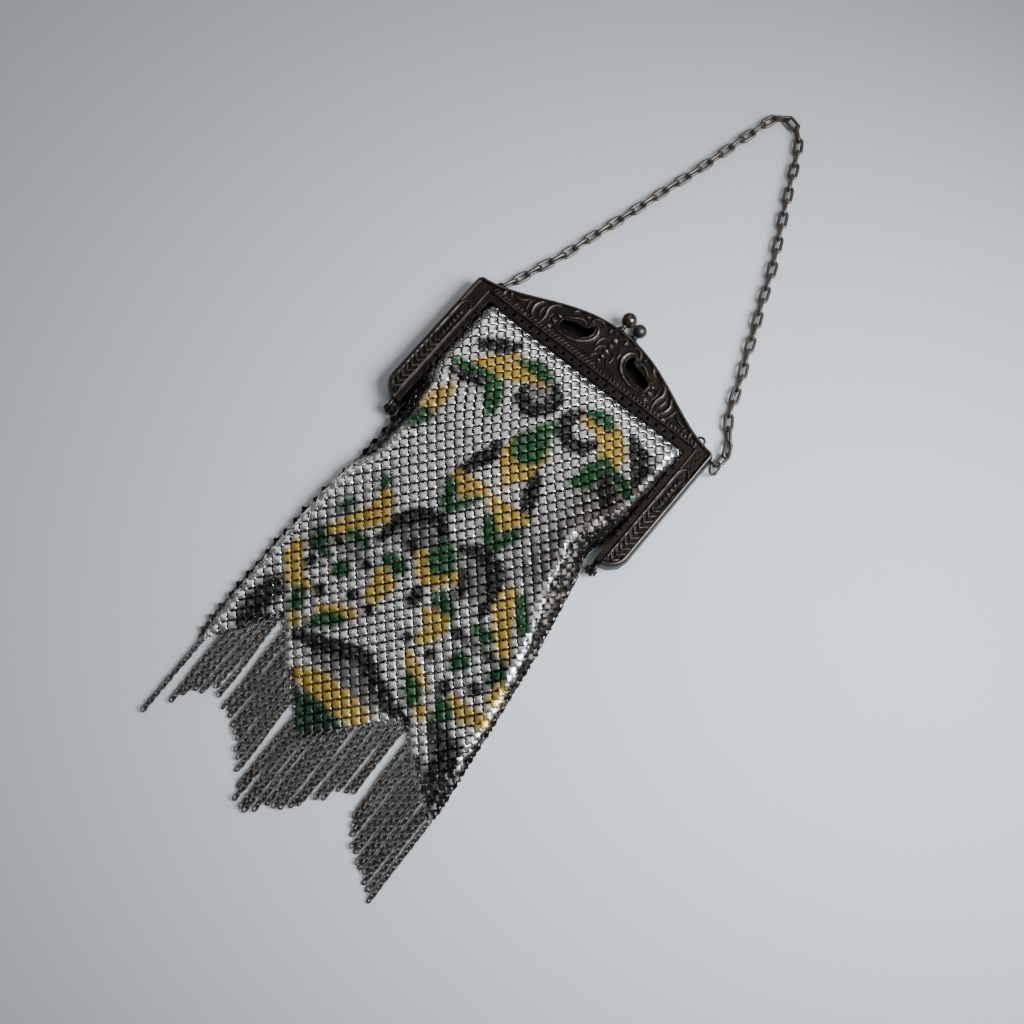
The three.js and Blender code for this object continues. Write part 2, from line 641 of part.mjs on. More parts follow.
function handleChain() {
  const curve = chainCurve();
  curve.arcLengthDivisions = 1200;
  const half = Math.round(curve.getLength() / LINK_PITCH / 2);
  const count = 2 * half - 1;
  const stops = curve.getSpacedPoints(count);
  const links = [];
  for (let i = 0; i < count; i += 1) {
    const from = stops[i];
    const to = stops[i + 1];
    const along = to.clone().sub(from).normalize();
    const reach = from.distanceTo(to) / 2 + (LINK_WIRE - LINK_BITE) / 2;
    const bend = (LINK_WIDTH - LINK_WIRE) / 2;
    const geometry = wireLoop(bend, LINK_WIRE, reach - bend, LINK_SEGMENTS, LINK_SIDES);
    const base = readTable(CHAIN_ROLLS, "along", "roll", i / (count - 1)) + (i % 2) * 90;
    const roll = THREE.MathUtils.degToRad(base);
    const level = new THREE.Vector3(0, 0, 1).cross(along).normalize();
    const up = new THREE.Vector3().crossVectors(along, level);
    const side = level.multiplyScalar(Math.cos(roll)).addScaledVector(up, Math.sin(roll));
    const basis = new THREE.Matrix4().makeBasis(along, side, new THREE.Vector3().crossVectors(along, side));
    basis.setPosition(from.clone().add(to).multiplyScalar(0.5));
    geometry.applyMatrix4(basis);
    links.push(toSolid(geometry));
  }
  return toGeometry(joinAll(links));
}

const mouthY = barBottom - GAP;

function hemDrop(across) {
  return readTable(HEM, "across", "down", across);
}

// A point of the bag. down is a share of the bag's length in the column at across, and inset draws the
// point inwards by the wall.
function bagPoint(across, down, rise, inset) {
  const columnLength = hemDrop(across) * bagLength - inset * 1.6 * down;
  const y = mouthY - columnLength * down;
  const share = (mouthY - y) / bagLength;
  const left = -bagHalfWidth * readTable(BAG_ROWS, "down", "left", share) + inset;
  const right = bagHalfWidth * readTable(BAG_ROWS, "down", "right", share) - inset;
  const top = BAG_THICKNESS * readTable(BAG_ROWS, "down", "full", share);
  const lift = BAG_THICKNESS * readTable(BAG_ROWS, "down", "lift", share);
  const closing = lerp(top, HEM_THICKNESS, Math.pow(down, 6));
  const high = closing - inset;
  const low = lift + inset;
  const middle = (high + low) / 2;
  const z = rise === null ? low : Math.max(lerp(low, high, rise), rise === 0.5 ? middle : low);
  return new THREE.Vector3(lerp(left, right, across), y, z);
}

function bagRing(down, inset) {
  const front = BAG_FRONT.map(({ across, rise }) => bagPoint(across, down, rise, inset));
  const back = BAG_FRONT.slice(1, -1).map(({ across }) => bagPoint(across, down, null, inset));
  return [...back, ...front.reverse()];
}

// Triangles that close a ring of the bag column by column, so that the hem's zigzag stays open.
function bagCap() {
  const columns = BAG_FRONT.length - 2;
  const right = columns;
  const left = 2 * columns + 1;
  const frontOf = (i) => left - 1 - i;
  const cap = [[left, 0, frontOf(0)], [right, frontOf(columns - 1), columns - 1]];
  for (let i = 0; i + 1 < columns; i += 1) {
    cap.push([i, i + 1, frontOf(i + 1)], [i, frontOf(i + 1), frontOf(i)]);
  }
  return cap;
}

function meshBag() {
  const shares = BAG_ROWS.map((row) => row.down);
  const outer = loft(shares.map((down) => bagRing(down, 0)), bagCap());
  const lips = bagRing(0, BAG_WALL).map((p) => new THREE.Vector3(p.x, p.y + 2, p.z));
  const inner = loft([lips, ...shares.map((down) => bagRing(down, BAG_WALL))], bagCap());
  return toGeometry(outer.subtract(inner));
}

// The hem's line from the left edge to the right one, as the bag's own bottom edge runs
const hemLine = BAG_FRONT.map(({ across }) => bagPoint(across, 1, null, 0));

function hemY(x) {
  return readTable(hemLine, "x", "y", x);
}

// The hem band and its strands, fused. A strand hangs at each pitch along the hem unless it is missing.
function fringe() {
  const drop = GAP * 2;
  const band = [
    ...hemLine.map((p) => new THREE.Vector2(p.x, p.y - drop - HEM_BAND)),
    ...hemLine.map((p) => new THREE.Vector2(p.x, p.y - drop)).reverse(),
  ];
  const solids = [prism(band, 0, STRAND_THICKNESS * 1.2)];
  const leftX = hemLine[0].x;
  const width = hemLine[hemLine.length - 1].x - leftX;
  const count = Math.floor(width / STRAND_PITCH);
  const half = STRAND_WIDTH / 2;
  for (let i = 0; i <= count; i += 1) {
    if (MISSING_STRANDS.includes(i)) {
      continue;
    }
    const x = leftX + half + ((width - STRAND_WIDTH) * i) / count;
    const across = (x - leftX) / width;
    const top = drop + HEM_BAND * 0.5;
    const length = STRAND_LENGTH * readTable(STRAND_LENGTHS, "across", "share", across);
    const lean = length * Math.tan(STRAND_LEAN);
    const tip = hemY(x) - length;
    const outline = [
      [x - half, hemY(x - half) - top],
      [x - half + lean, tip],
      [x + half + lean, tip],
      [x + half, hemY(x + half) - top],
    ].map(([px, py]) => new THREE.Vector2(px, py));
    solids.push(prism(outline, 0, STRAND_THICKNESS));
  }
  return toGeometry(joinAll(solids));
}

const oldSteel = new THREE.MeshStandardMaterial({ color: 0x4a443d, roughness: 0.45, metalness: 1 });
const copperBall = new THREE.MeshStandardMaterial({ color: 0x6b4a38, roughness: 0.3, metalness: 1 });
const greyBall = new THREE.MeshStandardMaterial({ color: 0x55534e, roughness: 0.38, metalness: 1 });
const plateMesh = new THREE.MeshStandardMaterial({ color: 0xb9b7b1, roughness: 0.3, metalness: 1 });
const linkSteel = new THREE.MeshStandardMaterial({ color: 0x57504a, roughness: 0.42, metalness: 1 });

function part(name, geometry, material, at = new THREE.Vector3()) {
  const mesh = new THREE.Mesh(geometry, material);
  mesh.name = name;
  mesh.position.copy(at);
  return mesh;
}

const laid = new THREE.Group();
laid.add(part("front_frame", toGeometry(frontFrame()), oldSteel));
laid.add(part("back_frame", toGeometry(backFrame()), oldSteel));

const frontStudX = CLASP_X - BALL_SPREAD;
const rearStudX = CLASP_X + BALL_SPREAD;
laid.add(part(
  "clasp_ball_front",
  claspBall(FRONT_BALL_RADIUS, FRONT_BALL_RISE, frontStudX, crestLine(frontStudX), SHEET),
  copperBall,
  new THREE.Vector3(frontStudX, 0, studZFront),
));
laid.add(part(
  "clasp_ball_rear",
  claspBall(REAR_BALL_RADIUS, REAR_BALL_RISE, rearStudX, crestLine(rearStudX) + CLASP_PLATE_RISE,
    SHEET + CLASP_PLATE_RISE),
  greyBall,
  new THREE.Vector3(rearStudX, 0, studZRear),
));
for (const [name, side] of [["hinge_pin_left", -1], ["hinge_pin_right", 1]]) {
  laid.add(part(name, hingePin(), oldSteel, new THREE.Vector3(side * hingeX, hingeY, hingeZ)));
}
laid.add(part("corner_ring", cornerRing(), linkSteel, ringCentre));
laid.add(part("handle_chain", handleChain(), linkSteel));
laid.add(part("mesh_bag", meshBag(), plateMesh));
laid.add(part("fringe", fringe(), linkSteel));

const purse = new THREE.Group();
purse.add(laid);
purse.updateMatrixWorld(true);
const bounds = new THREE.Box3().setFromObject(laid, true);
laid.position.set(-(bounds.min.x + bounds.max.x) / 2, -(bounds.min.y + bounds.max.y) / 2, -bounds.min.z);
purse.updateMatrixWorld(true);

export default purse;
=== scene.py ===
"""Metal mesh purse: the looks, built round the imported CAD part.

The pieces are laid out in millimetres from the middle of the frame's shoulder line, as in the part's
source: +X along the bar, +Y towards the handle chain, +Z up from the table. place() takes them into the
part's own frame, in metres.
"""

import math

import bpy
import numpy as np
from mathutils import Matrix, Vector


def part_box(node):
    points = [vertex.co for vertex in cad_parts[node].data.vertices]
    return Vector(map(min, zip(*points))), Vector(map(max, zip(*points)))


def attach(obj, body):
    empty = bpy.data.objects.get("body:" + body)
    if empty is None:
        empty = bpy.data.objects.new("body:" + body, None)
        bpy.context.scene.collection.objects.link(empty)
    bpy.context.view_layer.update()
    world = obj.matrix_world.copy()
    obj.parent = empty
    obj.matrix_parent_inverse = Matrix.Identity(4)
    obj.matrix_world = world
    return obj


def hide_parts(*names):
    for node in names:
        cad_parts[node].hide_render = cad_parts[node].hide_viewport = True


# Frame
FRAME_HALF_WIDTH = 51.0
CREST_HEIGHT = 15.0
CREST_EASE = 1.15
ARM_LENGTH = 53.5
ARM_FACE_WIDTH = 6.2
FLANGE_WIDTH = 2.2
BAR_FACE_DEPTH = 2.9
BAR_FLANGE_DEPTH = 2.7
HALF_THICKNESS = 3.85
HALVES_GAP = 0.3
SHEET = 0.9
FLANGE_STEP = 0.7
FOOT_RADIUS = 7.0
SHOULDER_CUT = 1.3
RIM_ROUND = 1.1
HOLE_PITCH = 3.65
HOLE_SIZE = 1.1
SLOT_REACH = 11.0
SLOT_INNER_X = 7.6
SLOT_BASE_Y = 2.7
SLOT_HEIGHT = 6.6
LUG_RADIUS = 1.75
LUG_THICKNESS = 1.1
HINGE_X = 43.8
HINGE_DROP = 3.1
EYE_X = 43.9
EYE_RADIUS = 1.5
EYE_WIRE = 0.9
CORNER_EYE_RADIUS = 1.2
CORNER_EYE_WIRE = 0.8
RING_RADIUS = 2.3
RING_WIRE = 1.0
RING_TILT = math.radians(55)
GRID = 0.25
FACE_Z = 2 * HALF_THICKNESS + HALVES_GAP
PARTING_Z = HALF_THICKNESS + HALVES_GAP
FACE_INNER = FRAME_HALF_WIDTH - ARM_FACE_WIDTH
FLANGE_INNER = FACE_INNER - FLANGE_WIDTH
BAR_BOTTOM = -(BAR_FACE_DEPTH + BAR_FLANGE_DEPTH)

# Clasp balls
CLASP_X = 1.0
BALL_SPREAD = 2.3

# Chain
CHAIN_WIRE = 1.22
LINK_WIDTH = 3.8
LINK_PITCH = 4.75
LINK_BITE = 0.14

# Bag and fringe
BAG_LENGTH = 153.0
BAG_HALF_WIDTH = 42.3
BAG_THICKNESS = 9.0
HEM_THICKNESS = 2.2
COLUMNS = 25
ROW_COUNT = 66
FIRST_ROW_Y = -8.2
ROW_STEP_TOP = 2.42
ROW_STEP_HEM = 2.3
PLATE_REACH = 1.94
PLATE_WAIST = 1.18
LINK_RING_RADIUS = 0.78
LINK_RING_WIRE = 0.4
STRAND_PITCH = 2.1
STRAND_LENGTH = 29.0
STRAND_LEAN = math.radians(2.2)
MISSING_STRANDS = (1, 8, 18, 34)

BAG_ROWS = [
    {"down": 0.0, "left": 1.0, "right": 1.0, "full": 0.85, "lift": 0.06},
    {"down": 0.05, "left": 1.0, "right": 1.0, "full": 0.93, "lift": 0.03},
    {"down": 0.15, "left": 1.0, "right": 1.0, "full": 1.0, "lift": 0.0},
    {"down": 0.24, "left": 0.995, "right": 0.99, "full": 1.0, "lift": 0.0},
    {"down": 0.31, "left": 0.975, "right": 0.915, "full": 0.97, "lift": 0.0},
    {"down": 0.36, "left": 0.965, "right": 0.995, "full": 0.92, "lift": 0.0},
    {"down": 0.45, "left": 0.965, "right": 1.06, "full": 0.82, "lift": 0.0},
    {"down": 0.56, "left": 1.005, "right": 1.14, "full": 0.68, "lift": 0.0},
    {"down": 0.7, "left": 1.015, "right": 1.215, "full": 0.52, "lift": 0.0},
    {"down": 0.83, "left": 1.005, "right": 1.275, "full": 0.42, "lift": 0.0},
    {"down": 0.93, "left": 0.985, "right": 1.33, "full": 0.36, "lift": 0.0},
    {"down": 1.0, "left": 0.945, "right": 1.325, "full": 0.25, "lift": 0.0},
]
BAG_FRONT = [
    {"across": 0.0, "rise": 1.0},
    {"across": 0.09, "rise": 1.0},
    {"across": 0.177, "rise": 0.95},
    {"across": 0.32, "rise": 0.9},
    {"across": 0.47, "rise": 0.94},
    {"across": 0.6, "rise": 0.89},
    {"across": 0.731, "rise": 0.95},
    {"across": 0.88, "rise": 1.0},
    {"across": 1.0, "rise": 1.0},
]
# The widths of the rolled bands at the two sides, in millimetres, and the pitch of the columns between them
BAG_SIDES = [
    {"down": 0.0, "left_band": 4.5, "right_band": 4.5, "pitch": 3.6},
    {"down": 0.18, "left_band": 4.0, "right_band": 4.5, "pitch": 3.7},
    {"down": 0.22, "left_band": 6.5, "right_band": 6.0, "pitch": 3.9},
    {"down": 0.3, "left_band": 7.5, "right_band": 8.0, "pitch": 4.05},
    {"down": 0.43, "left_band": 6.5, "right_band": 8.5, "pitch": 4.1},
    {"down": 0.48, "left_band": 2.6, "right_band": 7.0, "pitch": 4.12},
    {"down": 0.56, "left_band": 2.4, "right_band": 5.0, "pitch": 4.15},
    {"down": 0.7, "left_band": 2.4, "right_band": 3.6, "pitch": 4.15},
    {"down": 1.0, "left_band": 2.6, "right_band": 4.4, "pitch": 4.15},
]
HEM = [
    {"across": 0.0, "down": 0.985},
    {"across": 0.177, "down": 0.823},
    {"across": 0.47, "down": 1.0},
    {"across": 0.731, "down": 0.83},
    {"across": 1.0, "down": 0.955},
]
STRAND_LENGTHS = [
    {"across": 0.0, "share": 0.98},
    {"across": 0.06, "share": 1.0},
    {"across": 0.1, "share": 0.98},
    {"across": 0.177, "share": 1.14},
    {"across": 0.25, "share": 0.93},
    {"across": 0.36, "share": 0.93},
    {"across": 0.5, "share": 1.0},
    {"across": 0.62, "share": 1.06},
    {"across": 0.731, "share": 0.94},
    {"across": 0.82, "share": 1.08},
    {"across": 0.93, "share": 1.07},
    {"across": 1.0, "share": 1.08},
]
CHAIN_ROUTE = [
    (-41.4, 8.5), (-38.2, 17.6), (-35, 25.7), (-32.4, 35.8), (-29.7, 44.9), (-27.1, 54), (-24.5, 63.6),
    (-21.8, 73.3), (-19.2, 82.4), (-17, 91.5), (-14.9, 100.5), (-12.6, 109.4), (-11, 115.6), (-6.6, 119),
    (-0.9, 116.8), (3.8, 110.3), (7.6, 102.4), (11.4, 94.5), (15.7, 85.7), (20.1, 76.9), (24.4, 68),
    (29.9, 54.2), (33.8, 45.4), (37.1, 37), (40.9, 28.6), (43.7, 20.7), (46.5, 14.3), (53.2, 5.4),
]
CHAIN_ROLLS = [
    {"along": 0.0, "roll": 90},
    {"along": 0.25, "roll": 82},
    {"along": 0.5, "roll": 98},
    {"along": 0.8, "roll": 84},
    {"along": 0.94, "roll": 84},
    {"along": 0.98, "roll": 60},
    {"along": 1.0, "roll": 38},
]

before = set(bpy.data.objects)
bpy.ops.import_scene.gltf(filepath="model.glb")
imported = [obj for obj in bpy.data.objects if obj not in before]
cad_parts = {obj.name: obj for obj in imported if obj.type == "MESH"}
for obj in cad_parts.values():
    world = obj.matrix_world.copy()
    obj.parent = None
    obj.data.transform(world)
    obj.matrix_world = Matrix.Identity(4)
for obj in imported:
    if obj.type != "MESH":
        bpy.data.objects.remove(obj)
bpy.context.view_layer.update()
rear_low, rear_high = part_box("back_frame")
MIDDLE_X = (rear_low[0] + rear_high[0]) / 2 * 1000
SHOULDER_Y = rear_low[1] * 1000 + ARM_LENGTH + HINGE_DROP + LUG_RADIUS


def place(points):
    """Layout millimetres to the part's own frame in metres."""
    moved = np.asarray(points, dtype=float) + np.array([MIDDLE_X, SHOULDER_Y, 0.0])
    return moved / 1000.0


def read_table(rows, key, column, value):
    return np.interp(value, [row[key] for row in rows], [row[column] for row in rows])


def read_softly(rows, key, column, value, blur):
    """The same table with its corners rounded off over blur to either side."""
    steps = np.linspace(-1.0, 1.0, 9)
    weights = 1.0 - np.abs(steps) * 0.8
    total = sum(w * read_table(rows, key, column, value + s * blur) for s, w in zip(steps, weights))
    return total / weights.sum()


def plain_mesh(name, points, faces, finish, smooth=True):
    """A mesh object at the origin from layout millimetres."""
    mesh = bpy.data.meshes.new(name)
    mesh.from_pydata([tuple(p) for p in place(points)], [], [tuple(f) for f in faces])
    mesh.validate()
    mesh.polygons.foreach_set("use_smooth", [smooth] * len(mesh.polygons))
    mesh.materials.append(finish)
    thing = bpy.data.objects.new(name, mesh)
    bpy.context.scene.collection.objects.link(thing)
    return thing


def joined(parts):
    """One list of points and faces from several."""
    points = []
    faces = []
    for part_points, part_faces in parts:
        start = sum(len(p) for p in points)
        points.append(np.asarray(part_points, dtype=float))
        faces.extend([tuple(i + start for i in face) for face in part_faces])
    return np.concatenate(points), faces


def wire_loop(radius, wire, stretch, segments, sides):
    """A closed wire loop in the XY plane, stretched along X, as points and quads."""
    points = []
    faces = []
    for s in range(segments):
        turn = 2 * math.pi * (s + 0.5) / segments
        shift = math.copysign(stretch, math.cos(turn)) if abs(math.cos(turn)) > 1e-6 else 0.0
        for k in range(sides):
            angle = math.pi + 2 * math.pi * k / sides
            out = radius + wire / 2 * math.cos(angle)
            points.append((out * math.cos(turn) + shift, out * math.sin(turn), wire / 2 * math.sin(angle)))
            a = s * sides + k
            b = s * sides + (k + 1) % sides
            c = (s + 1) % segments * sides + k
            d = (s + 1) % segments * sides + (k + 1) % sides
            faces.append((a, c, d, b))
    return np.array(points), faces


def lathe(profile, segments):
    """A closed turned piece about +Y from (radius, height) pairs that start and end on the axis."""
    points = [(0.0, profile[0][1], 0.0)]
    faces = []
    for radius, height in profile[1:-1]:
        for s in range(segments):
            turn = 2 * math.pi * s / segments
            points.append((radius * math.sin(turn), height, radius * math.cos(turn)))
    points.append((0.0, profile[-1][1], 0.0))
    rows = len(profile) - 2
    for s in range(segments):
        t = (s + 1) % segments
        faces.append((0, 1 + t, 1 + s))
        for r in range(rows - 1):
            low = 1 + r * segments
            high = low + segments
            faces.append((low + s, low + t, high + t, high + s))
        last = 1 + (rows - 1) * segments
        faces.append((last + s, last + t, len(points) - 1))
    return np.array(points), faces


def turned(points, matrix, at):
    return np.asarray(points) @ np.array(matrix).T + np.array(at)


# Shader groups and finishes

def socket(tree, name, kind, side, value=None):
    made = tree.interface.new_socket(name, in_out=side, socket_type=kind)
    if value is not None:
        made.default_value = value
    return made


def node(tree, kind, links=None, **settings):
    """A node with its settings, its plain values and its links by input name or number."""
    made = tree.nodes.new(kind)
    for key, value in settings.items():
        setattr(made, key, value)
    for key, value in (links or {}).items():
        target = made.inputs[key]
        if isinstance(value, bpy.types.NodeSocket):
            tree.links.new(value, target)
        else:
            target.default_value = value
    return made


def math_node(tree, operation, *values):
    made = node(tree, "ShaderNodeMath", dict(enumerate(values)), operation=operation)
    return made.outputs[0]


def blend_node(tree, share, low, high, blend="MIX"):
    made = node(tree, "ShaderNodeMix", data_type="RGBA", blend_type=blend)
    for index, value in ((0, share), (6, low), (7, high)):
        if isinstance(value, bpy.types.NodeSocket):
            tree.links.new(value, made.inputs[index])
        else:
            made.inputs[index].default_value = value
    return made.outputs[2]


def tarnish_group():
    """Old silvered metal: dark in the hollows, worn bright where it is high, with brown blotches."""
    tree = bpy.data.node_groups.new("tarnish", "ShaderNodeTree")
    socket(tree, "Dark", "NodeSocketColor", "INPUT", (0.03, 0.025, 0.02, 1))
    socket(tree, "Bright", "NodeSocketColor", "INPUT", (0.5, 0.47, 0.42, 1))
    socket(tree, "Brown", "NodeSocketColor", "INPUT", (0.1, 0.06, 0.04, 1))
    socket(tree, "Wear", "NodeSocketFloat", "INPUT", 0.5)
    socket(tree, "Blotch scale", "NodeSocketFloat", "INPUT", 300.0)
    socket(tree, "Roughness", "NodeSocketFloat", "INPUT", 0.35)
    socket(tree, "Color", "NodeSocketColor", "OUTPUT")
    socket(tree, "Roughness", "NodeSocketFloat", "OUTPUT")
    socket(tree, "Height", "NodeSocketFloat", "OUTPUT")
    given = tree.nodes.new("NodeGroupInput")
    where = node(tree, "ShaderNodeTexCoord").outputs["Object"]
    blotch = node(tree, "ShaderNodeTexNoise",
                  {"Vector": where, "Scale": given.outputs["Blotch scale"], "Detail": 4.0, "Roughness": 0.6})
    grain = node(tree, "ShaderNodeTexNoise", {"Vector": where, "Scale": 2600.0, "Detail": 2.0})
    spread = math_node(tree, "MULTIPLY_ADD", blotch.outputs[0], 0.5, -0.25)
    wear = math_node(tree, "ADD", given.outputs["Wear"], spread)
    shown = node(tree, "ShaderNodeMapRange", {0: wear, 1: 0.1, 2: 0.95, 3: 0.0, 4: 1.0}, clamp=True)
    metal = blend_node(tree, shown.outputs[0], given.outputs["Dark"], given.outputs["Bright"])
    browned = node(tree, "ShaderNodeMapRange", {0: blotch.outputs[0], 1: 0.48, 2: 0.72, 3: 0.0, 4: 0.75},
                   clamp=True)
    color = blend_node(tree, browned.outputs[0], metal, given.outputs["Brown"])
    rough = math_node(tree, "MULTIPLY_ADD", grain.outputs[0], 0.24, given.outputs["Roughness"])
    rough = math_node(tree, "MULTIPLY_ADD", shown.outputs[0], -0.12, rough)
    out = tree.nodes.new("NodeGroupOutput")
    tree.links.new(color, out.inputs["Color"])
    tree.links.new(rough, out.inputs["Roughness"])
    tree.links.new(grain.outputs[0], out.inputs["Height"])
    return tree


TARNISH = tarnish_group()
GRAIN_DEPTH = 0.0002


def tarnished(name, dark, bright, brown, wear, roughness, scale=300.0, worn_by=None, metallic=0.9,
              bump=0.12):
    """A metal finish. worn_by names the attribute that says how high and bare the metal is."""
    finish = bpy.data.materials.new(name)
    finish.use_nodes = True
    tree = finish.node_tree
    shader = tree.nodes["Principled BSDF"]
    skin = node(tree, "ShaderNodeGroup", node_tree=TARNISH)
    skin.inputs["Dark"].default_value = (*dark, 1)
    skin.inputs["Bright"].default_value = (*bright, 1)
    skin.inputs["Brown"].default_value = (*brown, 1)
    skin.inputs["Wear"].default_value = wear
    skin.inputs["Blotch scale"].default_value = scale
    skin.inputs["Roughness"].default_value = roughness
    if worn_by:
        height = node(tree, "ShaderNodeAttribute", attribute_name=worn_by)
        amount = math_node(tree, "MULTIPLY_ADD", height.outputs["Fac"], 1.0, wear)
        tree.links.new(amount, skin.inputs["Wear"])
    ridge = node(tree, "ShaderNodeBump",
                 {"Strength": bump, "Distance": GRAIN_DEPTH, "Height": skin.outputs["Height"]})
    tree.links.new(skin.outputs["Color"], shader.inputs["Base Color"])
    tree.links.new(skin.outputs["Roughness"], shader.inputs["Roughness"])
    tree.links.new(ridge.outputs[0], shader.inputs["Normal"])
    shader.inputs["Metallic"].default_value = metallic
    return finish


def enamelled(name):
    """Bare silvery plate with enamel: the colour comes from the piece's own enamel attribute; how bright the
    silver is, painted highlights and painted shade included, comes from its bare_and_sheen attribute.
    """
    finish = bpy.data.materials.new(name)
    finish.use_nodes = True
    tree = finish.node_tree
    shader = tree.nodes["Principled BSDF"]
    skin = node(tree, "ShaderNodeGroup", node_tree=TARNISH)
    skin.inputs["Dark"].default_value = (0.08, 0.068, 0.058, 1)
    skin.inputs["Bright"].default_value = (0.95, 0.92, 0.9, 1)
    skin.inputs["Brown"].default_value = (0.36, 0.31, 0.275, 1)
    skin.inputs["Blotch scale"].default_value = 420.0
    skin.inputs["Roughness"].default_value = 0.22
    # bare_and_sheen: random wear tone, painted highlights and painted shade of the silver
    bare_and_sheen = node(tree, "ShaderNodeAttribute", attribute_name="bare_and_sheen")
    tree.links.new(bare_and_sheen.outputs["Fac"], skin.inputs["Wear"])
    paint = node(tree, "ShaderNodeAttribute", attribute_name="enamel")
    color = blend_node(tree, paint.outputs["Alpha"], skin.outputs["Color"], paint.outputs["Color"])
    rough = node(tree, "ShaderNodeMapRange",
                 {0: paint.outputs["Alpha"], 1: 0.0, 2: 1.0, 3: skin.outputs["Roughness"], 4: 0.32})
    metal = node(tree, "ShaderNodeMapRange", {0: paint.outputs["Alpha"], 1: 0.0, 2: 1.0, 3: 0.95, 4: 0.75})
    ridge = node(tree, "ShaderNodeBump",
                 {"Strength": 0.15, "Distance": GRAIN_DEPTH, "Height": skin.outputs["Height"]})
    tree.links.new(color, shader.inputs["Base Color"])
    tree.links.new(rough.outputs[0], shader.inputs["Roughness"])
    tree.links.new(metal.outputs[0], shader.inputs["Metallic"])
    tree.links.new(ridge.outputs[0], shader.inputs["Normal"])
    return finish


# Each finish has its dark, bright and brown colours, then its wear and its roughness
frame_metal = tarnished(
    "frame_metal", (0.017, 0.013, 0.01), (0.27, 0.24, 0.21), (0.038, 0.026, 0.019), -0.04, 0.33,
    worn_by="worn")
plain_frame_metal = tarnished(
    "plain_frame_metal", (0.02, 0.015, 0.012), (0.2, 0.175, 0.15), (0.045, 0.028, 0.02), 0.2, 0.36)
ball_copper = tarnished(
    "ball_copper", (0.07, 0.055, 0.042), (0.2, 0.16, 0.125), (0.09, 0.062, 0.045), 0.4, 0.16, scale=260.0,
    bump=0.04)
ball_grey = tarnished(
    "ball_grey", (0.045, 0.04, 0.037), (0.16, 0.15, 0.14), (0.07, 0.055, 0.045), 0.3, 0.32, bump=0.08)
link_metal = tarnished(
    "link_metal", (0.045, 0.036, 0.03), (0.34, 0.3, 0.26), (0.09, 0.06, 0.042), 0.35, 0.25, scale=220.0)
fringe_metal = tarnished(
    "fringe_metal", (0.03, 0.023, 0.018), (0.3, 0.265, 0.235), (0.07, 0.046, 0.034), 0.3, 0.27, scale=180.0)
plate_finish = enamelled("plate_enamel")
# The rings' very dark colours are partly their tarnish and partly painted shade for the gaps between the
# plates
ring_metal_and_gap_shade = tarnished(
    "ring_metal_and_gap_shade", (0.012, 0.009, 0.007), (0.17, 0.15, 0.13), (0.03, 0.02, 0.015), 0.15, 0.32, scale=200.0)


# Repeats

def repeat_tree():
    """One small piece on every point of the carrier, turned and stretched by the point's own attributes."""
    tree = bpy.data.node_groups.new("repeat_on_points", "GeometryNodeTree")
    socket(tree, "Carrier", "NodeSocketGeometry", "INPUT")
    socket(tree, "Piece", "NodeSocketObject", "INPUT")
    socket(tree, "Size", "NodeSocketFloat", "INPUT", 1.0)
    socket(tree, "Loose turn", "NodeSocketFloat", "INPUT", 0.0)
    socket(tree, "Seed", "NodeSocketInt", "INPUT", 0)
    socket(tree, "Finish", "NodeSocketMaterial", "INPUT")
    socket(tree, "Pieces", "NodeSocketGeometry", "OUTPUT")
    given = tree.nodes.new("NodeGroupInput")
    piece = node(tree, "GeometryNodeObjectInfo", {"Object": given.outputs["Piece"]})
    turn = node(tree, "GeometryNodeInputNamedAttribute", {"Name": "turn"}, data_type="FLOAT_VECTOR")
    stretch = node(tree, "GeometryNodeInputNamedAttribute", {"Name": "stretch"}, data_type="FLOAT_VECTOR")
    least = math_node(tree, "MULTIPLY", given.outputs["Loose turn"], -1.0)
    tilt = node(tree, "FunctionNodeRandomValue", data_type="FLOAT_VECTOR")
    tree.links.new(least, tilt.inputs[0])
    tree.links.new(given.outputs["Loose turn"], tilt.inputs[1])
    tree.links.new(given.outputs["Seed"], tilt.inputs["Seed"])
    base = node(tree, "FunctionNodeEulerToRotation", {0: turn.outputs[0]})
    extra = node(tree, "FunctionNodeEulerToRotation", {0: tilt.outputs[0]})
    both = node(tree, "FunctionNodeRotateRotation", {0: base.outputs[0], 1: extra.outputs[0]},
                rotation_space="LOCAL")
    scale = node(tree, "ShaderNodeVectorMath", {0: stretch.outputs[0], "Scale": given.outputs["Size"]},
                 operation="SCALE")
    spread = node(tree, "GeometryNodeInstanceOnPoints", {
        "Points": given.outputs["Carrier"], "Instance": piece.outputs["Geometry"],
        "Rotation": both.outputs[0], "Scale": scale.outputs[0]})
    real = node(tree, "GeometryNodeRealizeInstances", {0: spread.outputs[0]})
    dressed = node(tree, "GeometryNodeSetMaterial",
                   {"Geometry": real.outputs[0], "Material": given.outputs["Finish"]})
    out = tree.nodes.new("NodeGroupOutput")
    tree.links.new(dressed.outputs[0], out.inputs["Pieces"])
    return tree


REPEAT = repeat_tree()
LEAST_HEIGHT = 0.00002


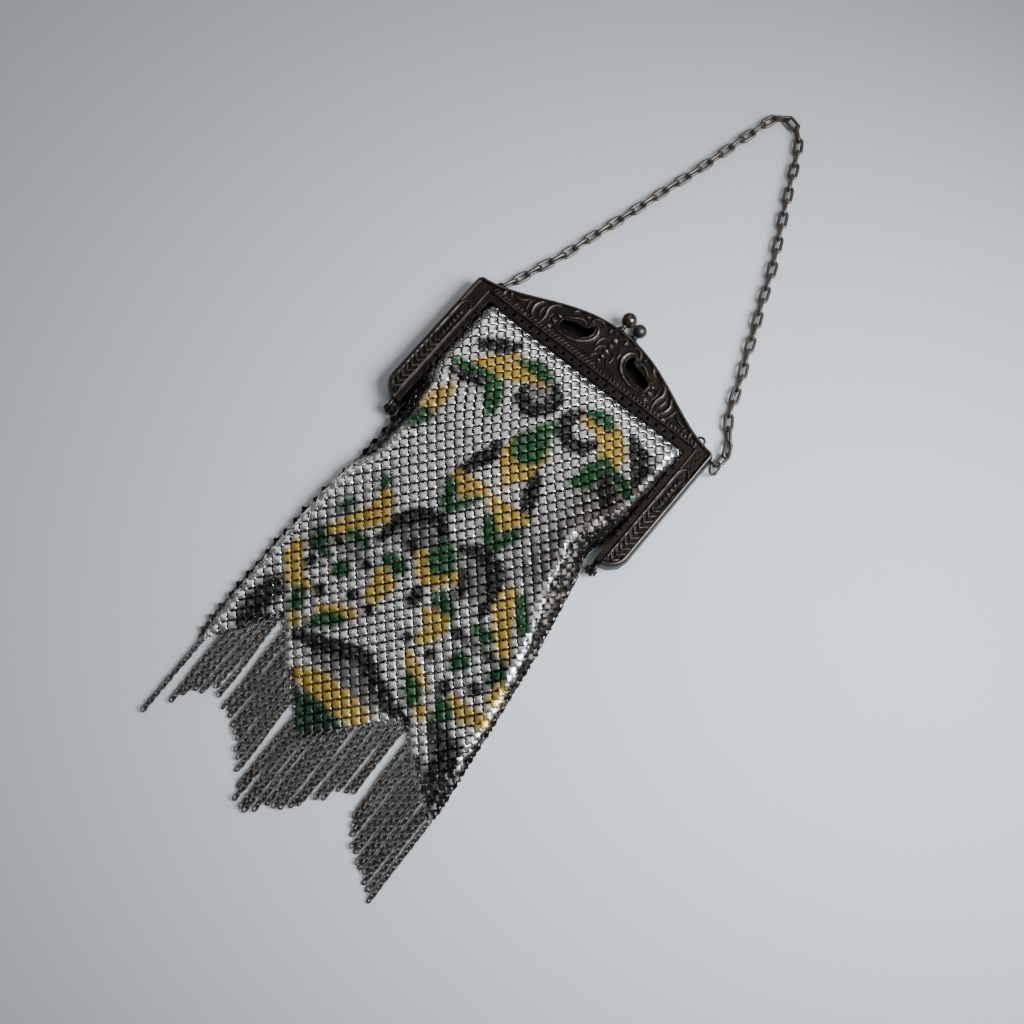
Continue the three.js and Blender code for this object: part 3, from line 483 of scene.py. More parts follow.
def repeated(name, piece, spots, finish, size=1.0, loose=0.0, seed=0):
    """A plain mesh object of the piece (points in mm, faces) set at every spot (at, axes, stretch)."""
    small = bpy.data.meshes.new(name + "_piece")
    small.from_pydata([tuple(p) for p in np.asarray(piece[0]) / 1000.0], [], [tuple(f) for f in piece[1]])
    small.polygons.foreach_set("use_smooth", [True] * len(small.polygons))
    pattern = bpy.data.objects.new(name + "_piece", small)
    bpy.context.scene.collection.objects.link(pattern)
    mesh = bpy.data.meshes.new(name + "_carrier")
    mesh.from_pydata([tuple(p) for p in place([spot[0] for spot in spots])], [], [])
    turns = mesh.attributes.new("turn", "FLOAT_VECTOR", "POINT")
    stretches = mesh.attributes.new("stretch", "FLOAT_VECTOR", "POINT")
    angles = []
    for _, axes, _ in spots:
        matrix = Matrix([[axes[c][r] for c in range(3)] for r in range(3)])
        angles.extend(matrix.to_euler("XYZ"))
    turns.data.foreach_set("vector", angles)
    stretches.data.foreach_set("vector", [v for spot in spots for v in spot[2]])
    carrier = bpy.data.objects.new(name + "_carrier", mesh)
    bpy.context.scene.collection.objects.link(carrier)
    repeat = carrier.modifiers.new("repeat", "NODES")
    repeat.node_group = REPEAT
    values = {"Piece": pattern, "Size": size, "Loose turn": loose, "Seed": seed, "Finish": finish}
    for item in REPEAT.interface.items_tree:
        if item.in_out == "INPUT" and item.name in values:
            repeat[item.identifier] = values[item.name]
    evaluated = carrier.evaluated_get(bpy.context.evaluated_depsgraph_get())
    plain = bpy.data.meshes.new_from_object(evaluated)
    plain.name = name
    bpy.data.objects.remove(carrier)
    bpy.data.objects.remove(pattern)
    for extra in ("turn", "stretch"):
        if extra in plain.attributes:
            plain.attributes.remove(plain.attributes[extra])
    # Nothing sinks into the surface that the purse lies on
    corners = np.zeros(len(plain.vertices) * 3)
    plain.vertices.foreach_get("co", corners)
    corners[2::3] = np.maximum(corners[2::3], LEAST_HEIGHT)
    plain.vertices.foreach_set("co", corners)
    thing = bpy.data.objects.new(name, plain)
    bpy.context.scene.collection.objects.link(thing)
    return thing


def unit(vector):
    vector = np.asarray(vector, dtype=float)
    return vector / np.linalg.norm(vector, axis=-1, keepdims=True)


# Frame

def crest_line(x):
    u = np.minimum(np.abs(x) / FRAME_HALF_WIDTH, 1.0) ** CREST_EASE
    return CREST_HEIGHT * (1 - 3 * u * u + 2 * u * u * u)


def frame_outline():
    """The whole frame's outline, arms and window filled in, anticlockwise."""
    reach = FRAME_HALF_WIDTH
    xs = np.linspace(reach - SHOULDER_CUT, -(reach - SHOULDER_CUT), 90)
    points = [(x, crest_line(x)) for x in xs]
    points.append((-reach, -SHOULDER_CUT))
    foot = -(ARM_LENGTH - FOOT_RADIUS)
    side = reach - FOOT_RADIUS
    for turn in np.linspace(math.pi, 1.5 * math.pi, 12):
        points.append((-side + FOOT_RADIUS * math.cos(turn), foot + FOOT_RADIUS * math.sin(turn)))
    for turn in np.linspace(1.5 * math.pi, 2 * math.pi, 12):
        points.append((side + FOOT_RADIUS * math.cos(turn), foot + FOOT_RADIUS * math.sin(turn)))
    points.append((reach, -SHOULDER_CUT))
    return np.array(points)


def path_distance(path, x, y, closed=False):
    """The distance from each point to a path, and the share of the path's points where it is nearest."""
    path = np.asarray(path, dtype=float)
    if closed:
        path = np.vstack([path, path[:1]])
    best = np.full(x.shape, 1e9)
    share = np.zeros(x.shape)
    count = len(path) - 1
    for i in range(count):
        a, b = path[i], path[i + 1]
        run = b - a
        length = max(float(run @ run), 1e-12)
        t = np.clip(((x - a[0]) * run[0] + (y - a[1]) * run[1]) / length, 0, 1)
        gap = np.hypot(x - a[0] - t * run[0], y - a[1] - t * run[1])
        nearer = gap < best
        best = np.where(nearer, gap, best)
        share = np.where(nearer, (i + t) / count, share)
    return best, share


def inside_path(path, x, y):
    inside = np.zeros(x.shape, dtype=bool)
    count = len(path)
    for i in range(count):
        x1, y1 = path[i]
        x2, y2 = path[(i + 1) % count]
        crosses = (y1 > y) != (y2 > y)
        at = (x2 - x1) * (y - y1) / (y2 - y1 if y2 != y1 else 1e-9) + x1
        inside ^= crosses & (x < at)
    return inside


def smooth_path(points, steps=10):
    """A rounded path through given points."""
    points = [np.array(p, dtype=float) for p in points]
    ends = [2 * points[0] - points[1]] + points + [2 * points[-1] - points[-2]]
    path = []
    for i in range(1, len(ends) - 2):
        p0, p1, p2, p3 = ends[i - 1], ends[i], ends[i + 1], ends[i + 2]
        for s in range(steps):
            t = s / steps
            path.append(0.5 * (2 * p1 + (p2 - p0) * t + (2 * p0 - 5 * p1 + 4 * p2 - p3) * t * t
                               + (3 * p1 - p0 - 3 * p2 + p3) * t ** 3))
    path.append(points[-1])
    return np.array(path)


SLOT_OUTLINE = [
    (0.05, 1), (0, 0.75), (0.06, 0.45), (0.22, 0.17), (0.48, 0.03), (0.75, 0), (1, 0.03), (1, 0.34),
    (0.79, 0.52), (0.56, 0.64), (0.34, 0.67), (0.22, 0.76), (0.15, 0.99),
]
# Raised work of the right half of the pediment: width, height and a drawn line in each row
SCROLLS = [
    {"width": 1.1, "high": 0.75, "line": [(10.7, 9.1), (9.6, 10.2), (8.1, 10.7), (6.5, 9.5), (6, 7.3),
                                          (6.8, 4.9), (9, 2.6), (12.2, 1.1), (16, 0.8), (19.4, 1.1)]},
    {"width": 0.7, "high": 0.6, "line": [(5.4, 11.6), (7.2, 12.8), (8.9, 12.7), (10.2, 11.6), (10.4, 10.4)]},
    {"width": 0.9, "high": 0.65, "line": [(10.9, 7.9), (12.2, 9.2), (14.3, 8.9), (16.4, 7.5), (19, 6.3)]},
    {"width": 0.8, "high": 0.65, "line": [(13.4, 11.2), (14.6, 12), (16.2, 11), (17.4, 9.4), (18.3, 9)]},
    {"width": 0.9, "high": 0.65, "line": [(26.1, 7), (27.9, 5.7), (29.2, 3.2), (28.7, 0.6), (27.4, -1.4)]},
    {"width": 0.9, "high": 0.65, "line": [(21.1, 8.3), (23.5, 7.6), (24.8, 5.2), (24.1, 2.4), (24.2, -0.4)]},
    {"width": 0.7, "high": 0.55, "line": [(31.7, 4.2), (33.3, 2), (35.2, 1), (37, 1)]},
    {"width": 0.7, "high": 0.55, "line": [(37.4, -0.2), (38.5, 1.3), (40.1, 0.9), (40.3, -0.5),
                                          (39.2, -1.2)]},
    {"width": 0.6, "high": 0.5, "line": [(0.9, 12), (2, 13.1), (3.4, 12.6), (3.3, 11.3), (2.2, 10.8)]},
    {"width": 0.5, "high": 0.4, "line": [(2.2, 9.4), (3.8, 8.4), (4.4, 6.6), (4.2, 4.8)]},
    {"width": 0.5, "high": 0.4, "line": [(1.4, 6.6), (2.8, 5.6), (3.4, 4), (3.2, 2.4)]},
    {"width": 0.5, "high": 0.4, "line": [(1.2, 3.6), (2.4, 2.6), (3.4, 1.2), (5.2, 0.4), (8, 0.2)]},
    {"width": 0.45, "high": 0.35, "line": [(19.6, 4.6), (22.2, 5), (23, 3.4), (22.4, 1.6)]},
    {"width": 0.45, "high": 0.35, "line": [(25.6, 5.6), (26.6, 4), (26.4, 2), (25.6, 0.4)]},
    {"width": 0.5, "high": 0.4, "line": [(30.4, 5.6), (31.4, 3.2), (31, 0.8), (30.2, -0.8)]},
    {"width": 0.45, "high": 0.4, "line": [(33.4, 3.6), (35.6, 2.8), (37.4, 2.6)]},
    {"width": 0.45, "high": 0.35, "line": [(33.6, 0.2), (35, -0.8), (36.6, -0.8)]},
    {"width": 0.5, "high": 0.4, "line": [(42.4, -0.9), (44, 0.2), (45.8, -0.4), (47.4, -0.6)]},
]
BUDS = [(20.9, 2.9, 1.2), (21, 0.2, 1.1), (20.2, 5.3, 0.8), (12.4, 11.2, 0.7), (29.9, -1.6, 0.6)]
STEM_BEADS = [(10.4, 1.0), (7.9, 0.95), (5.5, 0.9), (3.2, 0.8), (1.3, 0.6)]


def slot_path(side):
    return [(side * (SLOT_INNER_X + out * SLOT_REACH), SLOT_BASE_Y + up * SLOT_HEIGHT)
            for out, up in SLOT_OUTLINE]


def metal_depth(x, y, outline):
    """How far inside the metal a point lies: negative outside it, in the window, the slots and the holes."""
    edge, _ = path_distance(outline, x, y, closed=True)
    edge = np.where(inside_path(outline, x, y), edge, -edge)
    window = np.maximum(np.abs(x) - FLANGE_INNER, y - BAR_BOTTOM)
    depth = np.minimum(edge, window)
    for side in (1, -1):
        path = slot_path(side)
        rim, _ = path_distance(path, x, y, closed=True)
        depth = np.minimum(depth, np.where(inside_path(path, x, y), -rim, rim))
    row_y = -(BAR_FACE_DEPTH + BAR_FLANGE_DEPTH * 0.5)
    reach = math.floor((FLANGE_INNER - HOLE_PITCH) / HOLE_PITCH) * HOLE_PITCH
    nearest = np.clip(np.round(x / HOLE_PITCH) * HOLE_PITCH, -reach, reach)
    hole = np.maximum(np.abs(x - nearest), np.abs(y - row_y)) - HOLE_SIZE / 2
    return np.minimum(depth, hole), edge


def dome(gap, half, high):
    """A rounded ridge of that half width and height, by the distance from its middle line."""
    return high * np.sqrt(np.clip(1 - (gap / half) ** 2, 0, 1))


def frame_relief(x, y):
    """The height of the raised work above the sunk field of the pediment and the arms."""
    side_x = np.abs(x)
    relief = np.zeros(x.shape)
    for scroll in SCROLLS:
        path = smooth_path(scroll["line"], 6)
        gap, share = path_distance(path, side_x, y)
        swell = 0.4 + 0.6 * np.sin(np.pi * np.clip(share, 0.02, 0.98))
        relief = np.maximum(relief, dome(gap, scroll["width"] * 0.62 * swell, scroll["high"] * swell))
        # leaf ribs beside the scroll
        ribs = 0.18 * swell * np.clip(1 - gap / (scroll["width"] * 1.5), 0, 1)
        ribs = ribs * (0.5 + 0.5 * np.cos(share * len(scroll["line"]) * 9.0))
        relief = np.maximum(relief, ribs)
    for bud_x, bud_y, radius in BUDS:
        gap = np.hypot(side_x - bud_x, y - bud_y)
        turn = np.arctan2(y - bud_y, side_x - bud_x)
        petals = radius * (0.82 + 0.18 * np.cos(5 * turn))
        relief = np.maximum(relief, dome(gap, petals, 0.7) - dome(gap, radius * 0.3, 0.35))
    for bead_y, radius in STEM_BEADS:
        relief = np.maximum(relief, dome(np.hypot(x, (y - bead_y) * 0.85), radius, 0.7))
    for side in (1, -1):
        rim, _ = path_distance(slot_path(side), x, y, closed=True)
        relief = np.maximum(relief, dome(rim - 0.35, 0.4, 0.28))
    # leaf ticks along the foot of the pediment, and the moulding under them
    in_bar = np.abs(x) < FACE_INNER - 1.0
    lean = (side_x + (y + 1.4) * 0.7) / 1.45
    tick = np.abs(lean - np.round(lean)) * 1.45
    tick_row = np.clip(1 - np.abs(y + 1.35) / 0.85, 0, 1) ** 0.5
    relief = np.maximum(relief, np.where(in_bar, dome(tick, 0.52, 0.42) * tick_row, 0))
    moulding = dome(y + 2.45, 0.38, 0.5)
    relief = np.maximum(relief, np.where(np.abs(x) < FACE_INNER - 0.4, moulding, 0))
    # arms: an arched panel, a bead line, and inverted chevrons down to the foot
    middle = (FACE_INNER + FRAME_HALF_WIDTH - RIM_ROUND) / 2
    half = 2.05
    arch = smooth_path([(middle - half, -ARM_LENGTH + 3.4), (middle - half, -16), (middle - half, -13),
                        (middle - half * 0.6, -11.2), (middle, -10.4), (middle + half * 0.6, -11.2),
                        (middle + half, -13), (middle + half, -16), (middle + half, -ARM_LENGTH + 6.5)], 6)
    gap, _ = path_distance(arch, side_x, y)
    relief = np.maximum(relief, dome(gap, 0.34, 0.5))
    across = side_x - middle
    in_arm = (np.abs(across) < half - 0.3) & (y < -12)
    lift = (y - 1.05 * np.abs(across)) / 2.4
    chevron = np.abs(lift - np.round(lift)) * 2.4
    fade = np.clip((-25.5 - y) / 2.5, 0, 1) * np.clip((y + 51.5) / 1.5, 0, 1)
    relief = np.maximum(relief, np.where(in_arm, dome(chevron, 0.62, 0.55) * fade, 0))
    string = np.abs(y / 1.9 - np.round(y / 1.9)) * 1.9
    beads = dome(np.hypot(across, string), 0.75, 0.45) * np.clip((y + 26) / 1.5, 0, 1)
    relief = np.maximum(relief, np.where(in_arm, beads * np.clip((-14 - y) / 1.5, 0, 1), 0))
    return relief


def field_noise(x, y, size, seed):
    """Smooth uneven ground from a few crossed waves."""
    rng = np.random.default_rng(seed)
    total = np.zeros(x.shape)
    for _ in range(7):
        turn = rng.uniform(0, 2 * math.pi)
        pace = 2 * math.pi / (size * rng.uniform(0.6, 1.7))
        total += np.sin((x * math.cos(turn) + y * math.sin(turn)) * pace + rng.uniform(0, 2 * math.pi))
    return total / 7


def frame_surface(x, y, edge):
    """The height of the front half's face and how bare its metal is worn."""
    to_flat = 1 - np.clip(edge, 0, RIM_ROUND) / RIM_ROUND
    rim = FACE_Z - RIM_ROUND * (1 - np.sqrt(np.clip(1 - to_flat ** 2, 0, 1)))
    on_flange = (np.abs(x) < FACE_INNER) & (y < -BAR_FACE_DEPTH)
    inner_edge = np.maximum(np.abs(x) - FACE_INNER, y + BAR_FACE_DEPTH)
    sunk = np.clip((edge - 1.25) / 0.35, 0, 1) * np.clip((inner_edge - 0.15) / 0.3, 0, 1)
    relief = frame_relief(x, y)
    ground = 0.07 * field_noise(x, y, 1.5, 3) + 0.05 * field_noise(x, y, 0.9, 4)
    z = rim - sunk * (0.42 - relief - ground)
    z = z + 0.12 * dome(edge - 0.85, 0.45, 1.0) * (edge > 0)
    z = np.where(on_flange, FACE_Z - FLANGE_STEP + 0.02 * field_noise(x, y, 2.5, 5), z)
    worn = 0.85 * np.clip(relief / 0.7, 0, 1) ** 1.6 * sunk * (0.75 + 0.5 * field_noise(x, y, 3.0, 8))
    worn = np.maximum(worn, 0.5 * dome(edge - 0.6, 0.4, 1.0) * (edge > 0))
    worn = np.maximum(worn, 0.35 * np.clip(1 - inner_edge / 0.4, 0, 1) * (~on_flange))
    worn = np.where(on_flange, 0.05, worn)
    return z, worn


def pressed_face():
    """The front half's face as a fine grid cut along its edges, with its walls."""
    outline = frame_outline()
    xs = np.arange(-FRAME_HALF_WIDTH - GRID, FRAME_HALF_WIDTH + 2 * GRID, GRID)
    ys = np.arange(-ARM_LENGTH - GRID, CREST_HEIGHT + 2 * GRID, GRID)
    x, y = np.meshgrid(xs, ys)
    depth, _ = metal_depth(x, y, outline)
    step = 0.02
    slope_x = (metal_depth(x + step, y, outline)[0] - depth) / step
    slope_y = (metal_depth(x, y + step, outline)[0] - depth) / step
    size = np.maximum(np.hypot(slope_x, slope_y), 0.3)
    near = (depth > -GRID * 1.1) & (depth < GRID * 0.35)
    x = np.where(near, x - depth * slope_x / size ** 2, x)
    y = np.where(near, y - depth * slope_y / size ** 2, y)
    kept = (depth > 0) | near
    cell = kept[:-1, :-1] & kept[1:, :-1] & kept[:-1, 1:] & kept[1:, 1:]
    middle_x = (x[:-1, :-1] + x[1:, :-1] + x[:-1, 1:] + x[1:, 1:]) / 4
    middle_y = (y[:-1, :-1] + y[1:, :-1] + y[:-1, 1:] + y[1:, 1:]) / 4
    cell &= metal_depth(middle_x, middle_y, outline)[0] > 0.01
    rows, columns = np.nonzero(cell)
    width = x.shape[1]
    corners = np.stack([rows * width + columns, rows * width + columns + 1,
                        (rows + 1) * width + columns + 1, (rows + 1) * width + columns], axis=1)
    used, faces = np.unique(corners, return_inverse=True)
    faces = faces.reshape(corners.shape)
    px = x.ravel()[used]
    py = y.ravel()[used]
    _, edge = metal_depth(px, py, outline)
    pz, worn = frame_surface(px, py, edge)
    points = np.stack([px, py, pz], axis=1)
    sides = np.concatenate([faces[:, [0, 1]], faces[:, [1, 2]], faces[:, [2, 3]], faces[:, [3, 0]]])
    keys = np.sort(sides, axis=1)
    _, first, counts = np.unique(keys, axis=0, return_index=True, return_counts=True)
    border = sides[first[counts == 1]]
    ring, wall = np.unique(border, return_inverse=True)
    wall = wall.reshape(border.shape)
    low = points[ring].copy()
    outer = np.abs(edge[ring]) < 0.12
    low[:, 2] = np.where(outer, PARTING_Z, low[:, 2] - SHEET)
    start = len(points)
    walls = [(b, a, start + wa, start + wb) for (a, b), (wa, wb) in zip(border, wall)]
    points = np.concatenate([points, low])
    worn = np.concatenate([worn, np.where(outer, 0.15, 0.0)])
    return points, [tuple(f) for f in faces] + walls, worn


def front_half():
    points, faces, worn = pressed_face()
    hinge_y = -(ARM_LENGTH + HINGE_DROP)
    hinge_z = HALF_THICKNESS + HALVES_GAP / 2
    parts = [(points, faces)]
    for side in (1, -1):
        near = side * HINGE_X + (HALVES_GAP / 2 if side > 0 else -LUG_THICKNESS - HALVES_GAP / 2)
        parts.append(lug(near, hinge_y, hinge_z))
    eye = wire_loop(CORNER_EYE_RADIUS, CORNER_EYE_WIRE, 0, 20, 8)
    upright = [(1, 0, 0), (0, 0, -1), (0, 1, 0)]
    parts.append((turned(eye[0], upright, corner_eye()), eye[1]))
    all_points, all_faces = joined(parts)
    made = plain_mesh("front_half", all_points, all_faces, frame_metal)
    shades = np.full(len(all_points), 0.25)
    shades[:len(worn)] = worn
    wear = made.data.attributes.new("worn", "FLOAT", "POINT")
    wear.data.foreach_set("value", shades)
    return made


def corner_eye():
    return (FRAME_HALF_WIDTH + RING_WIRE / 2 + HALVES_GAP + CORNER_EYE_RADIUS - CORNER_EYE_WIRE
            - RING_WIRE * 0.1,
            -SHOULDER_CUT - 1.2, PARTING_Z + (HALF_THICKNESS - RIM_ROUND) * 0.4)


def lug(near, hinge_y, hinge_z):
    """A hinge knuckle: a rounded plate from the hinge line up to the arm's foot."""
    outline = [(-(ARM_LENGTH - SHEET), hinge_z + 3.0), (-(ARM_LENGTH - SHEET), hinge_z + 0.15)]
    for turn in np.linspace(0.15 * math.pi, -1.1 * math.pi, 16):
        outline.append((hinge_y + LUG_RADIUS * math.cos(turn), hinge_z + LUG_RADIUS * math.sin(turn)))
    outline.append((hinge_y, hinge_z + 3.0))
    count = len(outline)
    points = [(near, y, z) for y, z in outline] + [(near + LUG_THICKNESS, y, z) for y, z in outline]
    faces = [tuple(range(count)), tuple(reversed(range(count, 2 * count)))]
    for i in range(count):
        j = (i + 1) % count
        faces.append((j, i, count + i, count + j))
    return np.array(points), faces


def clasp_ball(name, node_name, radius, rise, stud_x, stud_z, wall_top, finish):
    """A ball on a neck that widens into a collar where it meets the frame."""
    ball_y = wall_top + rise
    profile = [(0.0, wall_top - 1.6), (1.3, wall_top - 1.6), (1.3, wall_top - 1.0), (0.75, wall_top - 1.0),
               (0.75, wall_top + 0.3), (1.35, wall_top + 0.32), (1.4, wall_top + 0.7), (1.0, wall_top + 1.2),
               (0.85, wall_top + 1.8)]
    start = math.asin(0.9 / radius)
    for turn in np.linspace(start, math.pi, 22)[:-1]:
        profile.append((radius * math.sin(turn), ball_y - radius * math.cos(turn)))
    profile.append((0.0, ball_y + radius))
    points, faces = lathe(profile, 32)
    made = plain_mesh(name, points + np.array([stud_x, 0, stud_z]), faces, finish)
    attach(made, "root")
    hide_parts(node_name)
    return made


# Chain

def chain_stops():
    """The ends of the links along the route, as in the part."""
    rest = LINK_WIDTH / 2 + 0.05
    route = [np.array([x, y, rest]) for x, y in CHAIN_ROUTE]
    eye_y = float(crest_line(EYE_X)) + EYE_RADIUS - EYE_WIRE * 0.3
    eye = np.array([-EYE_X, eye_y, HALF_THICKNESS * 0.57])
    to_link = route[0] - eye
    to_link[2] = 0
    start = eye + unit(to_link) * (EYE_RADIUS - EYE_WIRE / 2 - HALVES_GAP - LINK_BITE / 2)
    centre, out = ring_seat()
    pull = route[-1] - centre
    in_ring = out * float(pull @ out) + np.array([0, pull[1], 0])
    held = centre + unit(in_ring) * (RING_RADIUS - RING_WIRE / 2 - HALVES_GAP - LINK_BITE / 2)
    path = fine_route([start, *route, held])
    lengths = np.concatenate([[0], np.cumsum(np.linalg.norm(np.diff(path, axis=0), axis=1))])
    half = round(lengths[-1] / LINK_PITCH / 2)
    count = 2 * half - 1
    marks = np.linspace(0, lengths[-1], count + 1)
    return np.stack([np.interp(marks, lengths, path[:, k]) for k in range(3)], axis=1)


def fine_route(points):
    """A centripetal curve through the points."""
    ends = [2 * points[0] - points[1], *points, 2 * points[-1] - points[-2]]
    path = []
    for i in range(1, len(ends) - 2):
        p = ends[i - 1:i + 3]
        knots = [0.0]
        for a, b in zip(p, p[1:]):
            knots.append(knots[-1] + math.sqrt(max(np.linalg.norm(b - a), 1e-6)))
        for t in np.linspace(knots[1], knots[2], 40, endpoint=False):
            path.append(neville(p, knots, t))
    path.append(points[-1])
    return np.array(path)


def neville(p, knots, t):
    def mix(a, b, ka, kb):
        return (kb - t) / (kb - ka) * a + (t - ka) / (kb - ka) * b
    a1 = mix(p[0], p[1], knots[0], knots[1])
    a2 = mix(p[1], p[2], knots[1], knots[2])
    a3 = mix(p[2], p[3], knots[2], knots[3])
    b1 = mix(a1, a2, knots[0], knots[2])
    b2 = mix(a2, a3, knots[1], knots[3])
    return mix(b1, b2, knots[1], knots[2])


def ring_seat():
    out = np.array([math.cos(RING_TILT), 0, -math.sin(RING_TILT)])
    return np.array(corner_eye()) + out * RING_RADIUS, out


def link_axes(along, roll):
    level = unit(np.cross([0, 0, 1], along))
    up = np.cross(along, level)
    side = level * math.cos(roll) + up * math.sin(roll)
    return along, side, np.cross(along, side)


def handle_chain():
    stops = chain_stops()
    count = len(stops) - 1
    pitch = float(np.mean(np.linalg.norm(np.diff(stops, axis=0), axis=1)))
    bend = (LINK_WIDTH - CHAIN_WIRE) / 2
    reach = pitch / 2 + (CHAIN_WIRE - LINK_BITE) / 2
    link = wire_loop(bend, CHAIN_WIRE, reach - bend, 24, 8)
    spots = []
    for i in range(count):
        roll = math.radians(float(read_table(CHAIN_ROLLS, "along", "roll", i / (count - 1))) + i % 2 * 90)
        axes = link_axes(unit(stops[i + 1] - stops[i]), roll)
        stretch = np.linalg.norm(stops[i + 1] - stops[i]) / pitch
        spots.append(((stops[i] + stops[i + 1]) / 2, axes, (stretch, 1, 1)))
    return repeated("chain_links", link, spots, link_metal)


# Bag

def bag_grid():
    """Points and normals of the cloth at every half column and row, on both faces.

    The first COLUMNS * 2 half columns run over the front from the left edge to the right one, and the
    others run back over the rear face.
    """
    rows = np.arange(ROW_COUNT + 3)
    steps = ROW_STEP_TOP + (ROW_STEP_HEM - ROW_STEP_TOP) * rows / ROW_COUNT
    ys = FIRST_ROW_Y + 2 * ROW_STEP_TOP - np.cumsum(steps)
    points = np.zeros((len(ys), 4 * COLUMNS, 3))
    for r, y in enumerate(ys):
        loop = bag_loop(y)
        points[r, :, 0] = loop[:, 0]
        points[r, :, 1] = y
        points[r, :, 2] = loop[:, 1]
    across = np.roll(points, -1, axis=1) - np.roll(points, 1, axis=1)
    along = np.gradient(points, axis=0)
    normals = np.cross(along, across)
    return points, unit(normals), unit(across)


# How far the cloth's middle line leans sideways for each millimetre of height
LAYOUT_SKEW = 0.0384


def pattern_axis(y):
    """Where the middle line of the cloth runs in the layout at that height."""
    return 1.0 - LAYOUT_SKEW * y


def bag_loop(y):
    """One row of half columns round the bag: x and height."""
    down = min(max((BAR_BOTTOM - HALVES_GAP - y) / BAG_LENGTH, 0.0), 1.0)
    left = -BAG_HALF_WIDTH * float(read_softly(BAG_ROWS, "down", "left", down, 0.03))
    right = BAG_HALF_WIDTH * float(read_softly(BAG_ROWS, "down", "right", down, 0.03))
    tucked = float(np.interp(-y, [46, 54], [1.1, 0.0]))
    left -= tucked
    right += tucked * float(np.interp(-y, [36, 42], [1.0, 0.0]))
    top = BAG_THICKNESS * float(read_softly(BAG_ROWS, "down", "full", down, 0.04))
    top -= 2.0 * math.exp(-((y + 4.5) / 3.2) ** 2)
    low = BAG_THICKNESS * float(read_softly(BAG_ROWS, "down", "lift", down, 0.03)) + 0.45
    left_band = float(read_softly(BAG_SIDES, "down", "left_band", down, 0.02))
    right_band = float(read_softly(BAG_SIDES, "down", "right_band", down, 0.02))
    pitch = float(read_softly(BAG_SIDES, "down", "pitch", down, 0.03))
    middle = pattern_axis(y)
    ridge_left = left + left_band
    ridge_right = right - right_band
    half = COLUMNS / 2
    first = max(half + (ridge_left - middle) / pitch, 0.4)
    last = min(half + (ridge_right - middle) / pitch, COLUMNS - 0.4)
    index = np.arange(2 * COLUMNS) / 2
    x = np.interp(index, [0, first, last, COLUMNS], [left, ridge_left, ridge_right, right])
    rear_x = right + (left - right) * index / COLUMNS
    return np.concatenate([
        np.stack([x, front_height(x, y, left, right, ridge_left, ridge_right, top, low, down)], axis=1),
        np.stack([rear_x, rear_height(rear_x, y, left, right, top, low)], axis=1),
    ])


def front_height(x, y, left, right, ridge_left, ridge_right, top, low, down):
    a = (x - left) / (right - left)
    rise = read_softly(BAG_FRONT, "across", "rise", a, 0.04)
    hem_share = np.clip(down / np.maximum(hem_drop(a), 0.1), 0, 1) ** 6
    high = top - 0.3
    tall = high + (HEM_THICKNESS - high) * hem_share
    flat_y = np.full(x.shape, y)
    swell = 0.26 * field_noise(x, flat_y, 26.0, 11) + 0.14 * field_noise(x, flat_y, 9.0, 12)
    edge_height = low + (high - low) * 0.3
    wall_left = np.clip((x - left) / (ridge_left - left), 0, 1)
    wall_right = np.clip((right - x) / (right - ridge_right), 0, 1)
    wall = np.sin(np.minimum(wall_left, wall_right) * math.pi / 2) ** 0.85
    in_band = np.clip((0.999 - np.minimum(wall_left, wall_right)) * 3, 0, 1)
    crumple = 0.55 * field_noise(x, flat_y, 4.2, 14) * in_band * wall
    ridge = 0.35 * (np.exp(-((x - ridge_left) / 1.8) ** 2) + np.exp(-((x - ridge_right) / 1.8) ** 2))
    face = low + (tall - low) * rise + swell
    return edge_height + (face - edge_height) * wall + crumple + ridge * (1 - hem_share)


def rear_height(x, y, left, right, top, low):
    near_edge = np.minimum(x - left, right - x)
    lift = np.sqrt(np.clip(1 - (1 - np.clip(near_edge / 3.0, 0, 1)) ** 2, 0, 1))
    edge_height = low + (top - 0.3 - low) * 0.3
    bed = low + 0.15 * (1 + field_noise(x, np.full(x.shape, y), 18.0, 15))
    return edge_height + (bed - edge_height) * lift


def hem_drop(across):
    return read_table(HEM, "across", "down", across)


def hem_height(x):
    """The hem's own height in the layout at x."""
    table = []
    for row in np.linspace(0, 1, 41):
        down = float(hem_drop(row))
        left = -BAG_HALF_WIDTH * float(read_table(BAG_ROWS, "down", "left", down))
        right = BAG_HALF_WIDTH * float(read_table(BAG_ROWS, "down", "right", down))
        table.append((left + (right - left) * row, BAR_BOTTOM - HALVES_GAP - down * BAG_LENGTH))
    table.sort()
    return np.interp(x, [t[0] for t in table], [t[1] for t in table])


